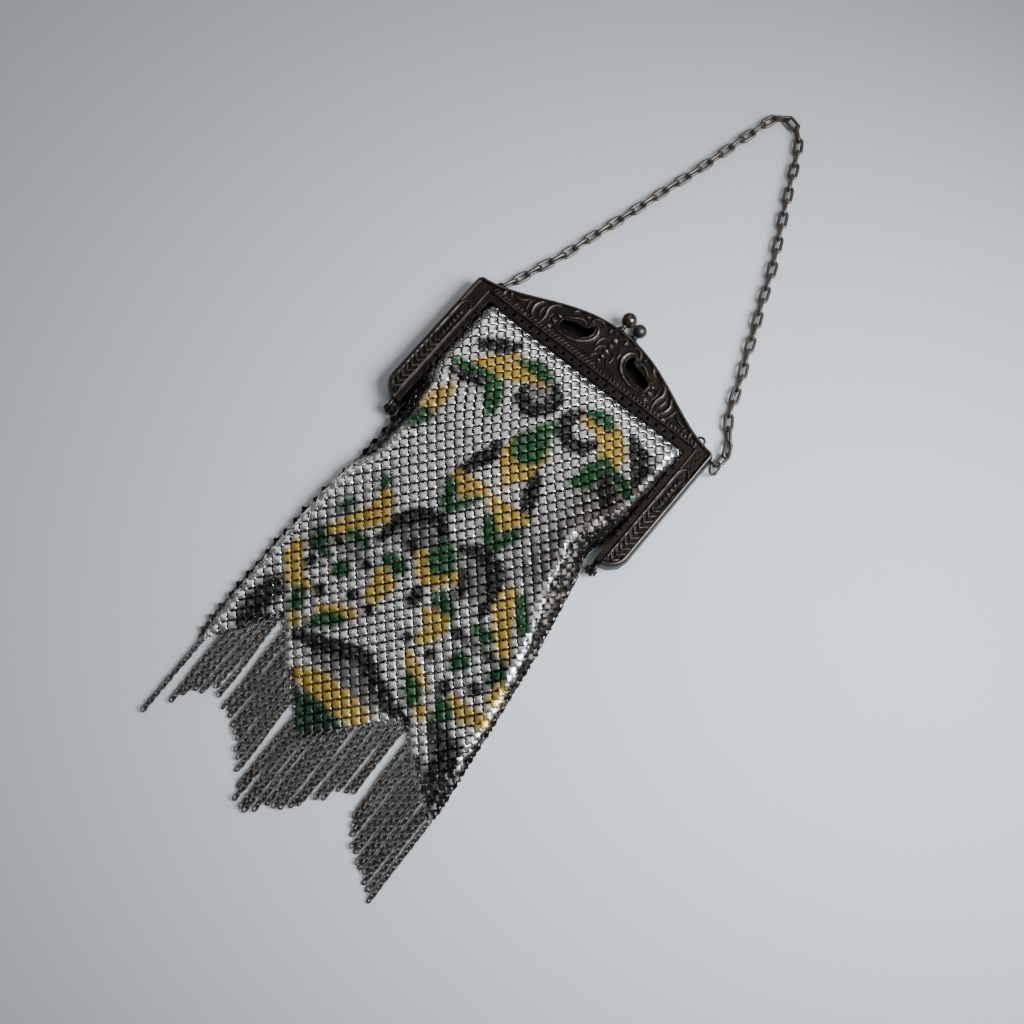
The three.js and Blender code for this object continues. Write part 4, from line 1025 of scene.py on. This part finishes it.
def star_plate(fine):
    """A rigid four-pointed plate with its points bent down a little, in millimetres."""
    outline = []
    for quarter in range(4):
        base = quarter * math.pi / 2
        for offset, reach in ((-0.2, PLATE_REACH * 0.96), (0.2, PLATE_REACH * 0.96),
                              (0.4, PLATE_WAIST * 1.16), (math.pi / 4, PLATE_WAIST),
                              (math.pi / 2 - 0.4, PLATE_WAIST * 1.16)):
            outline.append((reach * math.cos(base + offset), reach * math.sin(base + offset)))
    outline = np.array(outline)
    reaches = np.hypot(outline[:, 0], outline[:, 1])
    droop = -0.22 * (reaches / PLATE_REACH) ** 4
    count = len(outline)
    rings = [(0.98, -0.2), (1.0, 0.0)]
    if fine:
        rings.append((0.78, 0.07))
    points = []
    for share, height in rings:
        for (ox, oy), bend in zip(outline, droop):
            points.append((ox * share, oy * share, bend * share ** 3 + height))
    points.append((0, 0, 0.1))
    faces = []
    for r in range(len(rings) - 1):
        for i in range(count):
            j = (i + 1) % count
            low = r * count
            high = low + count
            faces.append((low + i, low + j, high + j, high + i))
    last = (len(rings) - 1) * count
    for i in range(count):
        faces.append((last + i, last + (i + 1) % count, len(points) - 1))
    return np.array(points), faces


def bag_spots(points, normals, across, plates, front):
    """Where plates or rings go: plates on one set of the checkerboard and rings on the other."""
    spots = []
    rng = np.random.default_rng(41)
    half = 2 * COLUMNS
    columns = range(0, half) if front else range(half, 2 * half)
    mouth = BAR_BOTTOM - HALVES_GAP
    for r in range(ROW_COUNT + 2):
        for c in columns:
            if ((c + r) % 2 == 0) != plates:
                continue
            at = points[r, c]
            row_left = points[r, :half, 0].min()
            row_right = points[r, :, 0].max()
            share = (at[0] - row_left) / (row_right - row_left)
            limit = mouth - float(hem_drop(share)) * BAG_LENGTH + (0.6 if plates else -0.5)
            if at[1] < limit:
                continue
            normal = normals[r, c]
            if front and at[1] < -38:
                down = (mouth - at[1]) / BAG_LENGTH
                from_left = at[0] - row_left - float(read_table(BAG_SIDES, "down", "left_band", down))
                from_right = row_right - at[0] - float(read_table(BAG_SIDES, "down", "right_band", down))
                if min(from_left, from_right) < -0.8:
                    normal = unit(normal + rng.normal(0, 0.17, 3))
            right = unit(across[r, c] - normal * float(across[r, c] @ normal))
            axes = (right, np.cross(normal, right), normal)
            if plates:
                spots.append((at, axes, (1.0, 1.0, 1.0)))
            else:
                spots.append((at - normal * 0.32, axes, (1.0, 1.0, 1.0)))
    if front and not plates:
        for side in (1, -1):
            for y in np.arange(-12.5, -45, -3.4):
                turn = rng.uniform(-0.5, 0.5)
                axes = link_axes(unit([1.0, turn, 0.15]), math.radians(rng.uniform(20, 60)))
                at = np.array([side * (FLANGE_INNER + 0.1), y, FACE_Z - FLANGE_STEP + 0.1])
                spots.append((at, axes, (1, 1, 1)))
    return spots


# Enamel

GREEN = (0.006, 0.062, 0.014)
DARK_GREEN = (0.005, 0.038, 0.012)
GOLD = (0.44, 0.285, 0.045)
BLACK = (0.008, 0.007, 0.006)
GREY = (0.14, 0.13, 0.12)
# Brown of the painted shade on the rolled side bands
BAND_SHADE_BROWN = (0.03, 0.024, 0.02)
# How much wider a stroke is on each side than listed, and what its softness is multiplied by
BRUSH_SPREAD = 0.45
BLACK_BLEND = 1.1
COLOR_BLEND = 1.8

# Each row is one pass of the brush on the front: its paint, how soft its edge is, and its line as
# (x, y, width) in millimetres from the cloth's own middle line and the shoulder line
STROKES = [
    (GOLD, 1.2, [(-30, -24.5, 4), (-24, -21, 8), (-18, -18.5, 8), (-12, -17.5, 4), (-7, -18, 3.5)]),
    (GOLD, 1.2, [(-22, -15.5, 4), (-18, -17, 5)]),
    (GREEN, 1.6, [(-18.5, -15, 2.5), (-13, -13.5, 6), (-8.5, -14.5, 4.5)]),
    (GREEN, 1.4, [(-38, -28.5, 2), (-32, -28, 4.5), (-26, -26.5, 3)]),
    (GREEN, 1.6, [(-24, -26, 4), (-21, -28.5, 7.5), (-19, -31.5, 6.5), (-17, -36, 3.5)]),
    (BLACK, 1.4, [(-34, -18.5, 3.5), (-29, -15.5, 6), (-23.5, -11.5, 3.5)]),
    (BLACK, 1.6, [(-36, -32, 2.5), (-31, -31.5, 3.5), (-25, -29.5, 3)]),
    (GREY, 3.0, [(-9, -21.5, 5), (-5, -20, 5)]),
    (BLACK, 1.2, [(-4.5, -15, 2.5), (-1.5, -19, 4.5), (-2.5, -24.5, 5), (-7, -27.5, 5), (-11.5, -25.5, 4),
                  (-12.5, -22, 2.5)]),
    (GOLD, 1.2, [(11, -18.5, 3), (16, -18.5, 4.5), (21.5, -19.5, 8), (24.5, -22.5, 9), (28, -27, 4)]),
    (GOLD, 1.2, [(18, -15.5, 3), (22, -16, 4)]),
    (GREEN, 1.6, [(11, -15.5, 3), (15, -14.5, 6), (18.5, -15.5, 3.5)]),
    (DARK_GREEN, 1.8, [(26, -28, 3), (32, -29, 5), (38, -31.5, 3)]),
    (GREEN, 1.6, [(24.5, -27.5, 4.5), (24, -31.5, 7), (22.5, -35.5, 6.5), (20.5, -39, 3)]),
    (BLACK, 1.6, [(27.5, -14.5, 3), (32, -18, 6), (35.5, -22, 5), (37, -25.5, 3)]),
    (BLACK, 1.6, [(28, -32, 3), (31, -35, 6), (33, -38.5, 3)]),
    (BLACK, 1.2, [(8, -17, 2), (5.5, -20.5, 4), (6, -25.5, 5), (10.5, -28.5, 5), (16, -27.5, 5),
                  (18, -24, 3)]),
    (GOLD, 1.4, [(2, -39, 13), (2, -43.5, 14), (2, -48, 7), (2.5, -52.5, 2.5)]),
    (GREEN, 1.8, [(2.6, -26, 1.5), (2.4, -31, 6.5), (1.8, -36, 11), (1.6, -38, 12)]),
    (BLACK, 1.2, [(-7, -43, 2.5), (-7.5, -48, 5.5), (-9.5, -53, 4.5), (-12, -58, 2.5)]),
    (BLACK, 1.2, [(9.5, -44, 2.5), (11, -49, 5.5), (13.5, -54.5, 4.5), (16, -60, 2.5)]),
    (GOLD, 1.4, [(-12, -60, 3), (-7, -61.5, 8), (-1.5, -59, 4)]),
    (GREEN, 1.8, [(-12.5, -63, 3.5), (-9.5, -68, 5.5), (-7.5, -71.5, 3.5), (-4, -66.5, 4), (-1, -62.5, 2)]),
    (GOLD, 1.4, [(3.5, -59.5, 4), (10, -62, 9), (15, -59.5, 3.5)]),
    (GREEN, 1.8, [(5, -65, 3), (8.5, -69, 6), (12.5, -71.5, 5), (15.5, -66.5, 5), (17, -62.5, 2.5)]),
    (GOLD, 1.4, [(-32.5, -38, 4), (-33.5, -43, 6), (-34, -47, 5.5)]),
    (GREEN, 1.8, [(-33, -50, 5.5), (-35, -54, 4.5)]),
    (GREY, 3.4, [(-13, -85, 10), (-7, -82.5, 9), (-4, -81, 6)]),
    (BLACK, 1.2, [(-19, -92, 3), (-18, -85, 4.5), (-13.5, -78, 5.5), (-8, -75.5, 5), (-2, -79, 3)]),
    (BLACK, 2.0, [(-9, -87.5, 4), (-7, -88.5, 3.5)]),
    (GREY, 3.4, [(11, -83, 9), (17, -86, 10)]),
    (BLACK, 1.2, [(5, -78.5, 3), (10.5, -75.5, 5), (17.5, -77.5, 6), (22.5, -84, 5.5), (23.5, -92, 3)]),
    (BLACK, 2.0, [(11, -86, 4), (13, -90.5, 4)]),
    (GOLD, 1.4, [(-3.5, -89, 5), (2, -91.5, 9), (8, -88.5, 4)]),
    (GREEN, 1.8, [(1.5, -80.5, 4), (1, -84, 9), (2.5, -86.5, 9)]),
    (BLACK, 1.6, [(2, -98, 3), (2.5, -101.5, 5)]),
    (GREEN, 1.8, [(-30, -75.5, 4), (-28.5, -78.5, 3)]),
    (GOLD, 1.4, [(-26, -79.5, 4), (-24.5, -86, 7), (-28.5, -91.5, 6), (-33, -99.5, 4)]),
    (DARK_GREEN, 2.0, [(-34, -88, 3), (-35, -91.5, 4.5)]),
    (GREEN, 1.6, [(-27, -96.5, 4), (-22.5, -96.5, 5)]),
    (GOLD, 1.4, [(26.5, -80.5, 4), (28.5, -87, 7), (32.5, -93.5, 6), (38, -98.5, 4)]),
    (GREEN, 1.8, [(30.5, -80, 3), (37, -87.5, 5)]),
    (GREEN, 1.6, [(25.5, -96.5, 4), (29.5, -97.5, 5)]),
    (GREEN, 1.6, [(-11.5, -96, 6), (-8, -96, 6.5)]),
    (GREEN, 1.6, [(10, -96.5, 6.5), (13.5, -98, 6.5)]),
    (GOLD, 1.4, [(-11.5, -101, 4), (-8.5, -104, 8), (-9, -109, 5)]),
    (GOLD, 1.4, [(9, -102.5, 4), (14.5, -103, 6.5), (13, -109.5, 5)]),
    (DARK_GREEN, 1.8, [(-36.5, -102, 4), (-34.5, -105, 7.5), (-30, -107, 3)]),
    (DARK_GREEN, 1.8, [(39, -102, 5), (40, -106, 7)]),
    (GREY, 2.0, [(-30, -101, 3.5), (-16.5, -102, 3.5)]),
    (GREY, 2.0, [(19.5, -101.5, 3.5), (35.5, -101.5, 3.5)]),
    (GOLD, 1.4, [(-39.5, -110.5, 4), (-37.5, -115, 6), (-33, -119, 6), (-28, -119.5, 3)]),
    (GOLD, 1.4, [(43, -107.5, 3), (43.5, -112, 4)]),
    (GOLD, 1.4, [(44.5, -119.5, 4.5), (38.5, -121, 6), (33, -119.5, 3)]),
    (GOLD, 1.4, [(-20, -122, 3), (-16, -120.5, 4.5), (-11, -117.5, 3.5)]),
    (GOLD, 1.4, [(12.5, -117, 3), (17, -120, 5), (21, -121.5, 4)]),
    (GREEN, 1.8, [(-29, -122.5, 5), (-27.5, -126.5, 5)]),
    (GREEN, 1.8, [(-12.5, -121.5, 3.5), (-16, -124, 6), (-19.5, -128, 3.5)]),
    (GREEN, 1.8, [(17, -122.5, 3), (20.5, -125, 6.5), (23, -128, 5)]),
    (GREEN, 1.8, [(30, -122.5, 4), (33, -124.5, 6.5), (32.5, -129, 4)]),
    (GOLD, 1.4, [(-26, -129.5, 3), (-24, -131, 3)]),
    (GOLD, 1.4, [(26.5, -128, 3), (28, -130, 3)]),
    (BLACK, 3.0, [(-37, -126, 8), (-38, -133, 8), (-36, -140, 9)]),
    (BLACK, 3.0, [(36, -131, 7), (42, -134, 9), (45, -142, 11), (47, -149, 9)]),
    (GREY, 2.4, [(-11, -134.5, 6), (0, -132, 11), (13, -135.5, 6)]),
    (BLACK, 1.2, [(-21, -133.5, 3.5), (-12, -131, 5), (-5, -128, 5.5), (1, -126, 5), (8, -129.5, 5),
                  (16, -133, 4.5), (25, -134.5, 3.5)]),
    (GOLD, 1.6, [(-13.5, -143.5, 3.5), (-6, -142, 8), (3, -142.5, 9), (12, -142.5, 7), (16.5, -144, 3)]),
    (DARK_GREEN, 1.8, [(-9, -149, 5), (0, -150.5, 9), (9, -149.5, 5)]),
    (DARK_GREEN, 1.8, [(-4, -155, 7), (5, -155, 7)]),
]
# Each row is a flower: its middle, the eye's radius, and its dark spots as (x, y, radius) from the middle
ROSETTES = [
    {"x": -23, "y": -108, "eye": 3.3, "spots": [
        (-9.5, -3.5, 2.3), (-1, -9.5, 2.4), (8.5, -4.5, 2.3), (16, -5, 2.3), (-6.5, 7, 1.8), (6, 6.5, 1.8)]},
    {"x": 27, "y": -108.5, "eye": 3.6, "spots": [
        (9.5, -4, 2.6), (1, -9.5, 2.7), (-9, -4, 2.3), (-18.5, -4, 2.3), (6.5, 7, 1.8), (-6, 7, 1.8)]},
]


def brush_gap(line, x, y):
    """How far each point lies outside a stroke whose width changes along it."""
    best = np.full(x.shape, 1e9)
    if len(line) == 1:
        line = [line[0], line[0]]
    for (x1, y1, w1), (x2, y2, w2) in zip(line, line[1:]):
        run_x, run_y = x2 - x1, y2 - y1
        length = max(run_x * run_x + run_y * run_y, 1e-9)
        t = np.clip(((x - x1) * run_x + (y - y1) * run_y) / length, 0, 1)
        gap = np.hypot(x - x1 - t * run_x, y - y1 - t * run_y) - (w1 + (w2 - w1) * t) / 2 - BRUSH_SPREAD
        best = np.minimum(best, gap)
    return best


def enamel_at(x, y):
    """Paint colour and strength at points of the front, from the cloth's own middle line."""
    color = np.zeros((len(x), 3))
    strength = np.zeros(len(x))
    wander = 0.8 * field_noise(x, y, 5.0, 21)
    passes = []
    for paint, soft, line in STROKES:
        blend = BLACK_BLEND if paint is BLACK else COLOR_BLEND
        passes.append((paint, soft * blend, brush_gap(line, x, y)))
    for flower in ROSETTES:
        fx, fy = flower["x"], flower["y"]
        passes.append((GREEN, 1.2, np.hypot(x - fx, (y - fy) * 0.9) - flower["eye"]))
        for sx, sy, radius in flower["spots"]:
            passes.append((BLACK, 1.4, np.hypot(x - fx - sx, y - fy - sy) - radius))
    for paint, soft, gap in passes:
        cover = np.clip((wander - gap) / soft + 0.5, 0, 1)
        cover = cover * cover * (3 - 2 * cover)
        color = color * (1 - cover[:, None]) + np.array(paint) * cover[:, None]
        strength = 1 - (1 - strength) * (1 - cover)
    return color / np.maximum(strength, 0.001)[:, None], strength


def paint_plates(thing, front):
    """Writes the enamel onto the plates, and the silver's brightness: a random tone, with painted highlights
    and painted shade on the front.
    """
    mesh = thing.data
    spots = np.zeros(len(mesh.vertices) * 3)
    mesh.vertices.foreach_get("co", spots)
    spots = spots.reshape(-1, 3) * 1000 - np.array([MIDDLE_X, SHOULDER_Y, 0])
    x = spots[:, 0]
    y = spots[:, 1]
    from_axis = x - pattern_axis(y)
    color, strength = enamel_at((from_axis if front else -from_axis) + 2.0, y - LAYOUT_SKEW * x)
    strength = strength * np.clip(0.97 + 0.2 * field_noise(x, y, 3.0, 31), 0, 1)
    down = np.clip(-(y + 6) / BAG_LENGTH, 0, 1)
    left = -BAG_HALF_WIDTH * read_softly(BAG_ROWS, "down", "left", down, 0.03)
    right = BAG_HALF_WIDTH * read_softly(BAG_ROWS, "down", "right", down, 0.03)
    left_band = read_softly(BAG_SIDES, "down", "left_band", down, 0.02)
    right_band = read_softly(BAG_SIDES, "down", "right_band", down, 0.02)
    # The silver's brightness: a random tone, with painted highlights along the top rows under the bar, on
    # the upper left edge and along the side ridges, and painted shade on the right, in the side bands and
    # beside the right arm
    bright = 0.72 + 0.28 * np.exp(-((y + 8.5) / 4.5) ** 2) + 0.1 * field_noise(x, y, 24.0, 32)
    bright += 0.4 * np.clip((-30 - x) / 7, 0, 1) * np.clip((y + 44) / 4, 0, 1)
    right_shade = np.clip((x - 17) / 10, 0, 1) * np.clip((-24 - y) / 12, 0, 1) * np.clip((y + 84) / 14, 0, 1)
    bright -= 0.5 * right_shade
    ridge = np.minimum(np.abs(x - left - left_band), np.abs(right - right_band - x))
    bright += 0.3 * np.exp(-(ridge / 1.2) ** 2) * np.clip((-40 - y) / 6, 0, 1)
    in_band = np.maximum((left + left_band - 1.5 - x), (x - right + right_band - 1.5))
    bright -= 0.75 * np.clip(in_band / 1.5, 0, 1) * np.clip((-36 - y) / 6, 0, 1)
    arm_shade = np.clip((x - 32) / 4, 0, 1) * np.clip((-11 - y) / 5, 0, 1) * np.clip((y + 60) / 8, 0, 1)
    bright -= 0.55 * arm_shade
    if front:
        # Painted brown shade over the rolled side bands of the front
        band_shade = 0.85 * np.clip(in_band / 1.2, 0, 1) * np.clip((-36 - y) / 6, 0, 1)
        band_shade *= np.clip(1 + 0.5 * field_noise(x, y, 4.0, 34), 0, 1)
        color = color * (1 - band_shade[:, None]) + np.array(BAND_SHADE_BROWN) * band_shade[:, None]
        strength = strength + (1 - strength) * band_shade
    else:
        bright = 0.5 + 0.1 * field_noise(x, y, 24.0, 33)
    enamel = mesh.color_attributes.new("enamel", "FLOAT_COLOR", "POINT")
    enamel.data.foreach_set("color", np.concatenate([color, strength[:, None]], axis=1).ravel())
    # bare_and_sheen carries the random tone together with the painted highlights and painted shade
    mesh.attributes.new("bare_and_sheen", "FLOAT", "POINT").data.foreach_set("value", np.clip(bright, 0, 1))


def mesh_bag():
    points, normals, across = bag_grid()
    made = []
    for front in (True, False):
        side = "front" if front else "rear"
        plates = repeated("bag_plates_" + side, star_plate(front),
                          bag_spots(points, normals, across, True, front),
                          plate_finish, loose=math.radians(3.5), seed=4 if front else 5)
        paint_plates(plates, front)
        ring = wire_loop(LINK_RING_RADIUS, LINK_RING_WIRE, 0, 10 if front else 6, 4 if front else 3)
        rings = repeated("bag_rings_" + side, ring, bag_spots(points, normals, across, False, front),
                         ring_metal_and_gap_shade, loose=math.radians(14), seed=6 if front else 7)
        made.extend([(plates, "plate_mesh"), (rings, "link_metal")])
    for thing, slot_name in made:
        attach(thing, "root")
    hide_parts("mesh_bag")


# Fringe

def fringe_strands():
    rng = np.random.default_rng(17)
    left = float(-BAG_HALF_WIDTH * 0.95)
    right = float(BAG_HALF_WIDTH * 1.327)
    width = right - left
    count = math.floor(width / STRAND_PITCH)
    pitch = 1.55
    link = wire_loop(0.77, 0.6, 0.34, 12, 5)
    spots = []
    for i in range(count + 1):
        if i in MISSING_STRANDS:
            continue
        x = left + 0.75 + (width - 1.5) * i / count
        top = float(hem_height(x)) - 0.2
        length = STRAND_LENGTH * float(read_table(STRAND_LENGTHS, "across", "share", (x - left) / width))
        length = length + rng.uniform(-1.3, 1.3)
        lean = STRAND_LEAN + rng.uniform(-0.012, 0.012)
        sway = rng.uniform(-0.35, 0.35)
        phase = rng.uniform(0, 6.28)
        links = max(round(length / pitch), 3)
        for k in range(links):
            share = (k + 0.5) / links
            at_x = x + length * share * math.tan(lean) + sway * math.sin(share * 5 + phase)
            at_z = 1.05 + 0.5 * (1 - share) ** 3
            slope = math.tan(lean) + sway * 5 / length * math.cos(share * 5 + phase)
            along = unit([slope, -1.0, 0.0])
            roll = math.radians((38 if k % 2 else -38) + rng.uniform(-12, 12))
            spots.append(((at_x, top - length * share, at_z), link_axes(along, roll), (1, 1, 1)))
    return repeated("fringe_links", link, spots, fringe_metal)


# Assembly

front_piece = front_half()
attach(front_piece, "root")
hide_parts("front_frame")

STUD_FRONT = CLASP_X - BALL_SPREAD
STUD_REAR = CLASP_X + BALL_SPREAD
clasp_ball("ball_front", "clasp_ball_front", 2.75, 5.0,
           STUD_FRONT, FACE_Z - HALF_THICKNESS * 0.6,
           float(crest_line(STUD_FRONT)), ball_copper)
clasp_ball("ball_rear", "clasp_ball_rear", 2.5, 3.9, STUD_REAR, HALF_THICKNESS * 0.62,
           float(crest_line(STUD_REAR)) + 1.5, ball_grey)

chain = handle_chain()
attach(chain, "root")
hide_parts("handle_chain")

seat, seat_out = ring_seat()
loop_points, loop_faces = wire_loop(RING_RADIUS, RING_WIRE, 0, 36, 12)
ring_basis = np.stack([seat_out, [0, 1, 0], np.cross(seat_out, [0, 1, 0])], axis=1)
corner = plain_mesh("jump_ring", turned(loop_points, ring_basis, seat), loop_faces, link_metal)
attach(corner, "root")
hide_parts("corner_ring")

mesh_bag()

fringe = fringe_strands()
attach(fringe, "root")
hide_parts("fringe")

for name in ("back_frame", "hinge_pin_left", "hinge_pin_right"):
    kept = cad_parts[name]
    kept.data.materials.clear()
    kept.data.materials.append(plain_frame_metal)


# Floor, lights and camera

def paper_floor():
    finish = bpy.data.materials.new("pale_floor")
    finish.use_nodes = True
    tree = finish.node_tree
    shader = tree.nodes["Principled BSDF"]
    where = node(tree, "ShaderNodeTexCoord").outputs["Object"]
    grain = node(tree, "ShaderNodeTexNoise", {"Vector": where, "Scale": 420.0, "Detail": 3.0})
    ridge = node(tree, "ShaderNodeBump", {"Strength": 0.25, "Distance": 0.0003, "Height": grain.outputs[0]})
    tree.links.new(ridge.outputs[0], shader.inputs["Normal"])
    shader.inputs["Base Color"].default_value = (0.63, 0.65, 0.68, 1)
    shader.inputs["Roughness"].default_value = 0.85
    mesh = bpy.data.meshes.new("floor")
    mesh.from_pydata([(-3, -3, 0), (3, -3, 0), (3, 3, 0), (-3, 3, 0)], [], [(0, 1, 2, 3)])
    mesh.materials.append(finish)
    thing = bpy.data.objects.new("floor", mesh)
    bpy.context.scene.collection.objects.link(thing)


def soft_light(name, at, aim, width, height, power, tint, spread):
    lamp = bpy.data.lights.new(name, "AREA")
    lamp.shape = "RECTANGLE"
    lamp.size = width
    lamp.size_y = height
    lamp.energy = power
    lamp.color = tint
    lamp.spread = math.radians(spread)
    thing = bpy.data.objects.new(name, lamp)
    thing.location = at
    thing.rotation_euler = (Vector(aim) - Vector(at)).to_track_quat("-Z", "Y").to_euler()
    bpy.context.scene.collection.objects.link(thing)


paper_floor()
soft_light("window", (0.302, 0.097, 0.33), (0.08, 0.0, 0), 0.3, 0.3, 0.92, (0.84, 0.93, 1.0), 66)
soft_light("ceiling", (-0.26, 0.31, 1.45), (0, 0, 0), 1.0, 1.0, 2.6, (1.0, 0.97, 0.94), 180)
soft_light("lamp", (-0.45, 0.85, 0.85), (0, 0, 0), 0.5, 0.5, 1.5, (1.0, 0.97, 0.93), 180)
world = bpy.data.worlds.new("room_light")
world.use_nodes = True
world.node_tree.nodes["Background"].inputs["Color"].default_value = (0.9, 0.9, 0.9, 1)
world.node_tree.nodes["Background"].inputs["Strength"].default_value = 0.13
bpy.context.scene.world = world

lens = bpy.data.cameras.new("camera")
lens.lens = 52.73
lens.sensor_width = 36.0
eye = Vector((0.0931, -0.1269, 0.4841))
target = Vector((0.0072, -0.0237, 0.0))
up = Vector((-0.640, 0.768, 0.0))
back = (eye - target).normalized()
right = up.cross(back).normalized()
true_up = back.cross(right)
camera = bpy.data.objects.new("camera", lens)
camera.matrix_world = Matrix([
    (right.x, true_up.x, back.x, eye.x),
    (right.y, true_up.y, back.y, eye.y),
    (right.z, true_up.z, back.z, eye.z),
    (0, 0, 0, 1),
])
bpy.context.scene.collection.objects.link(camera)
bpy.context.scene.camera = camera
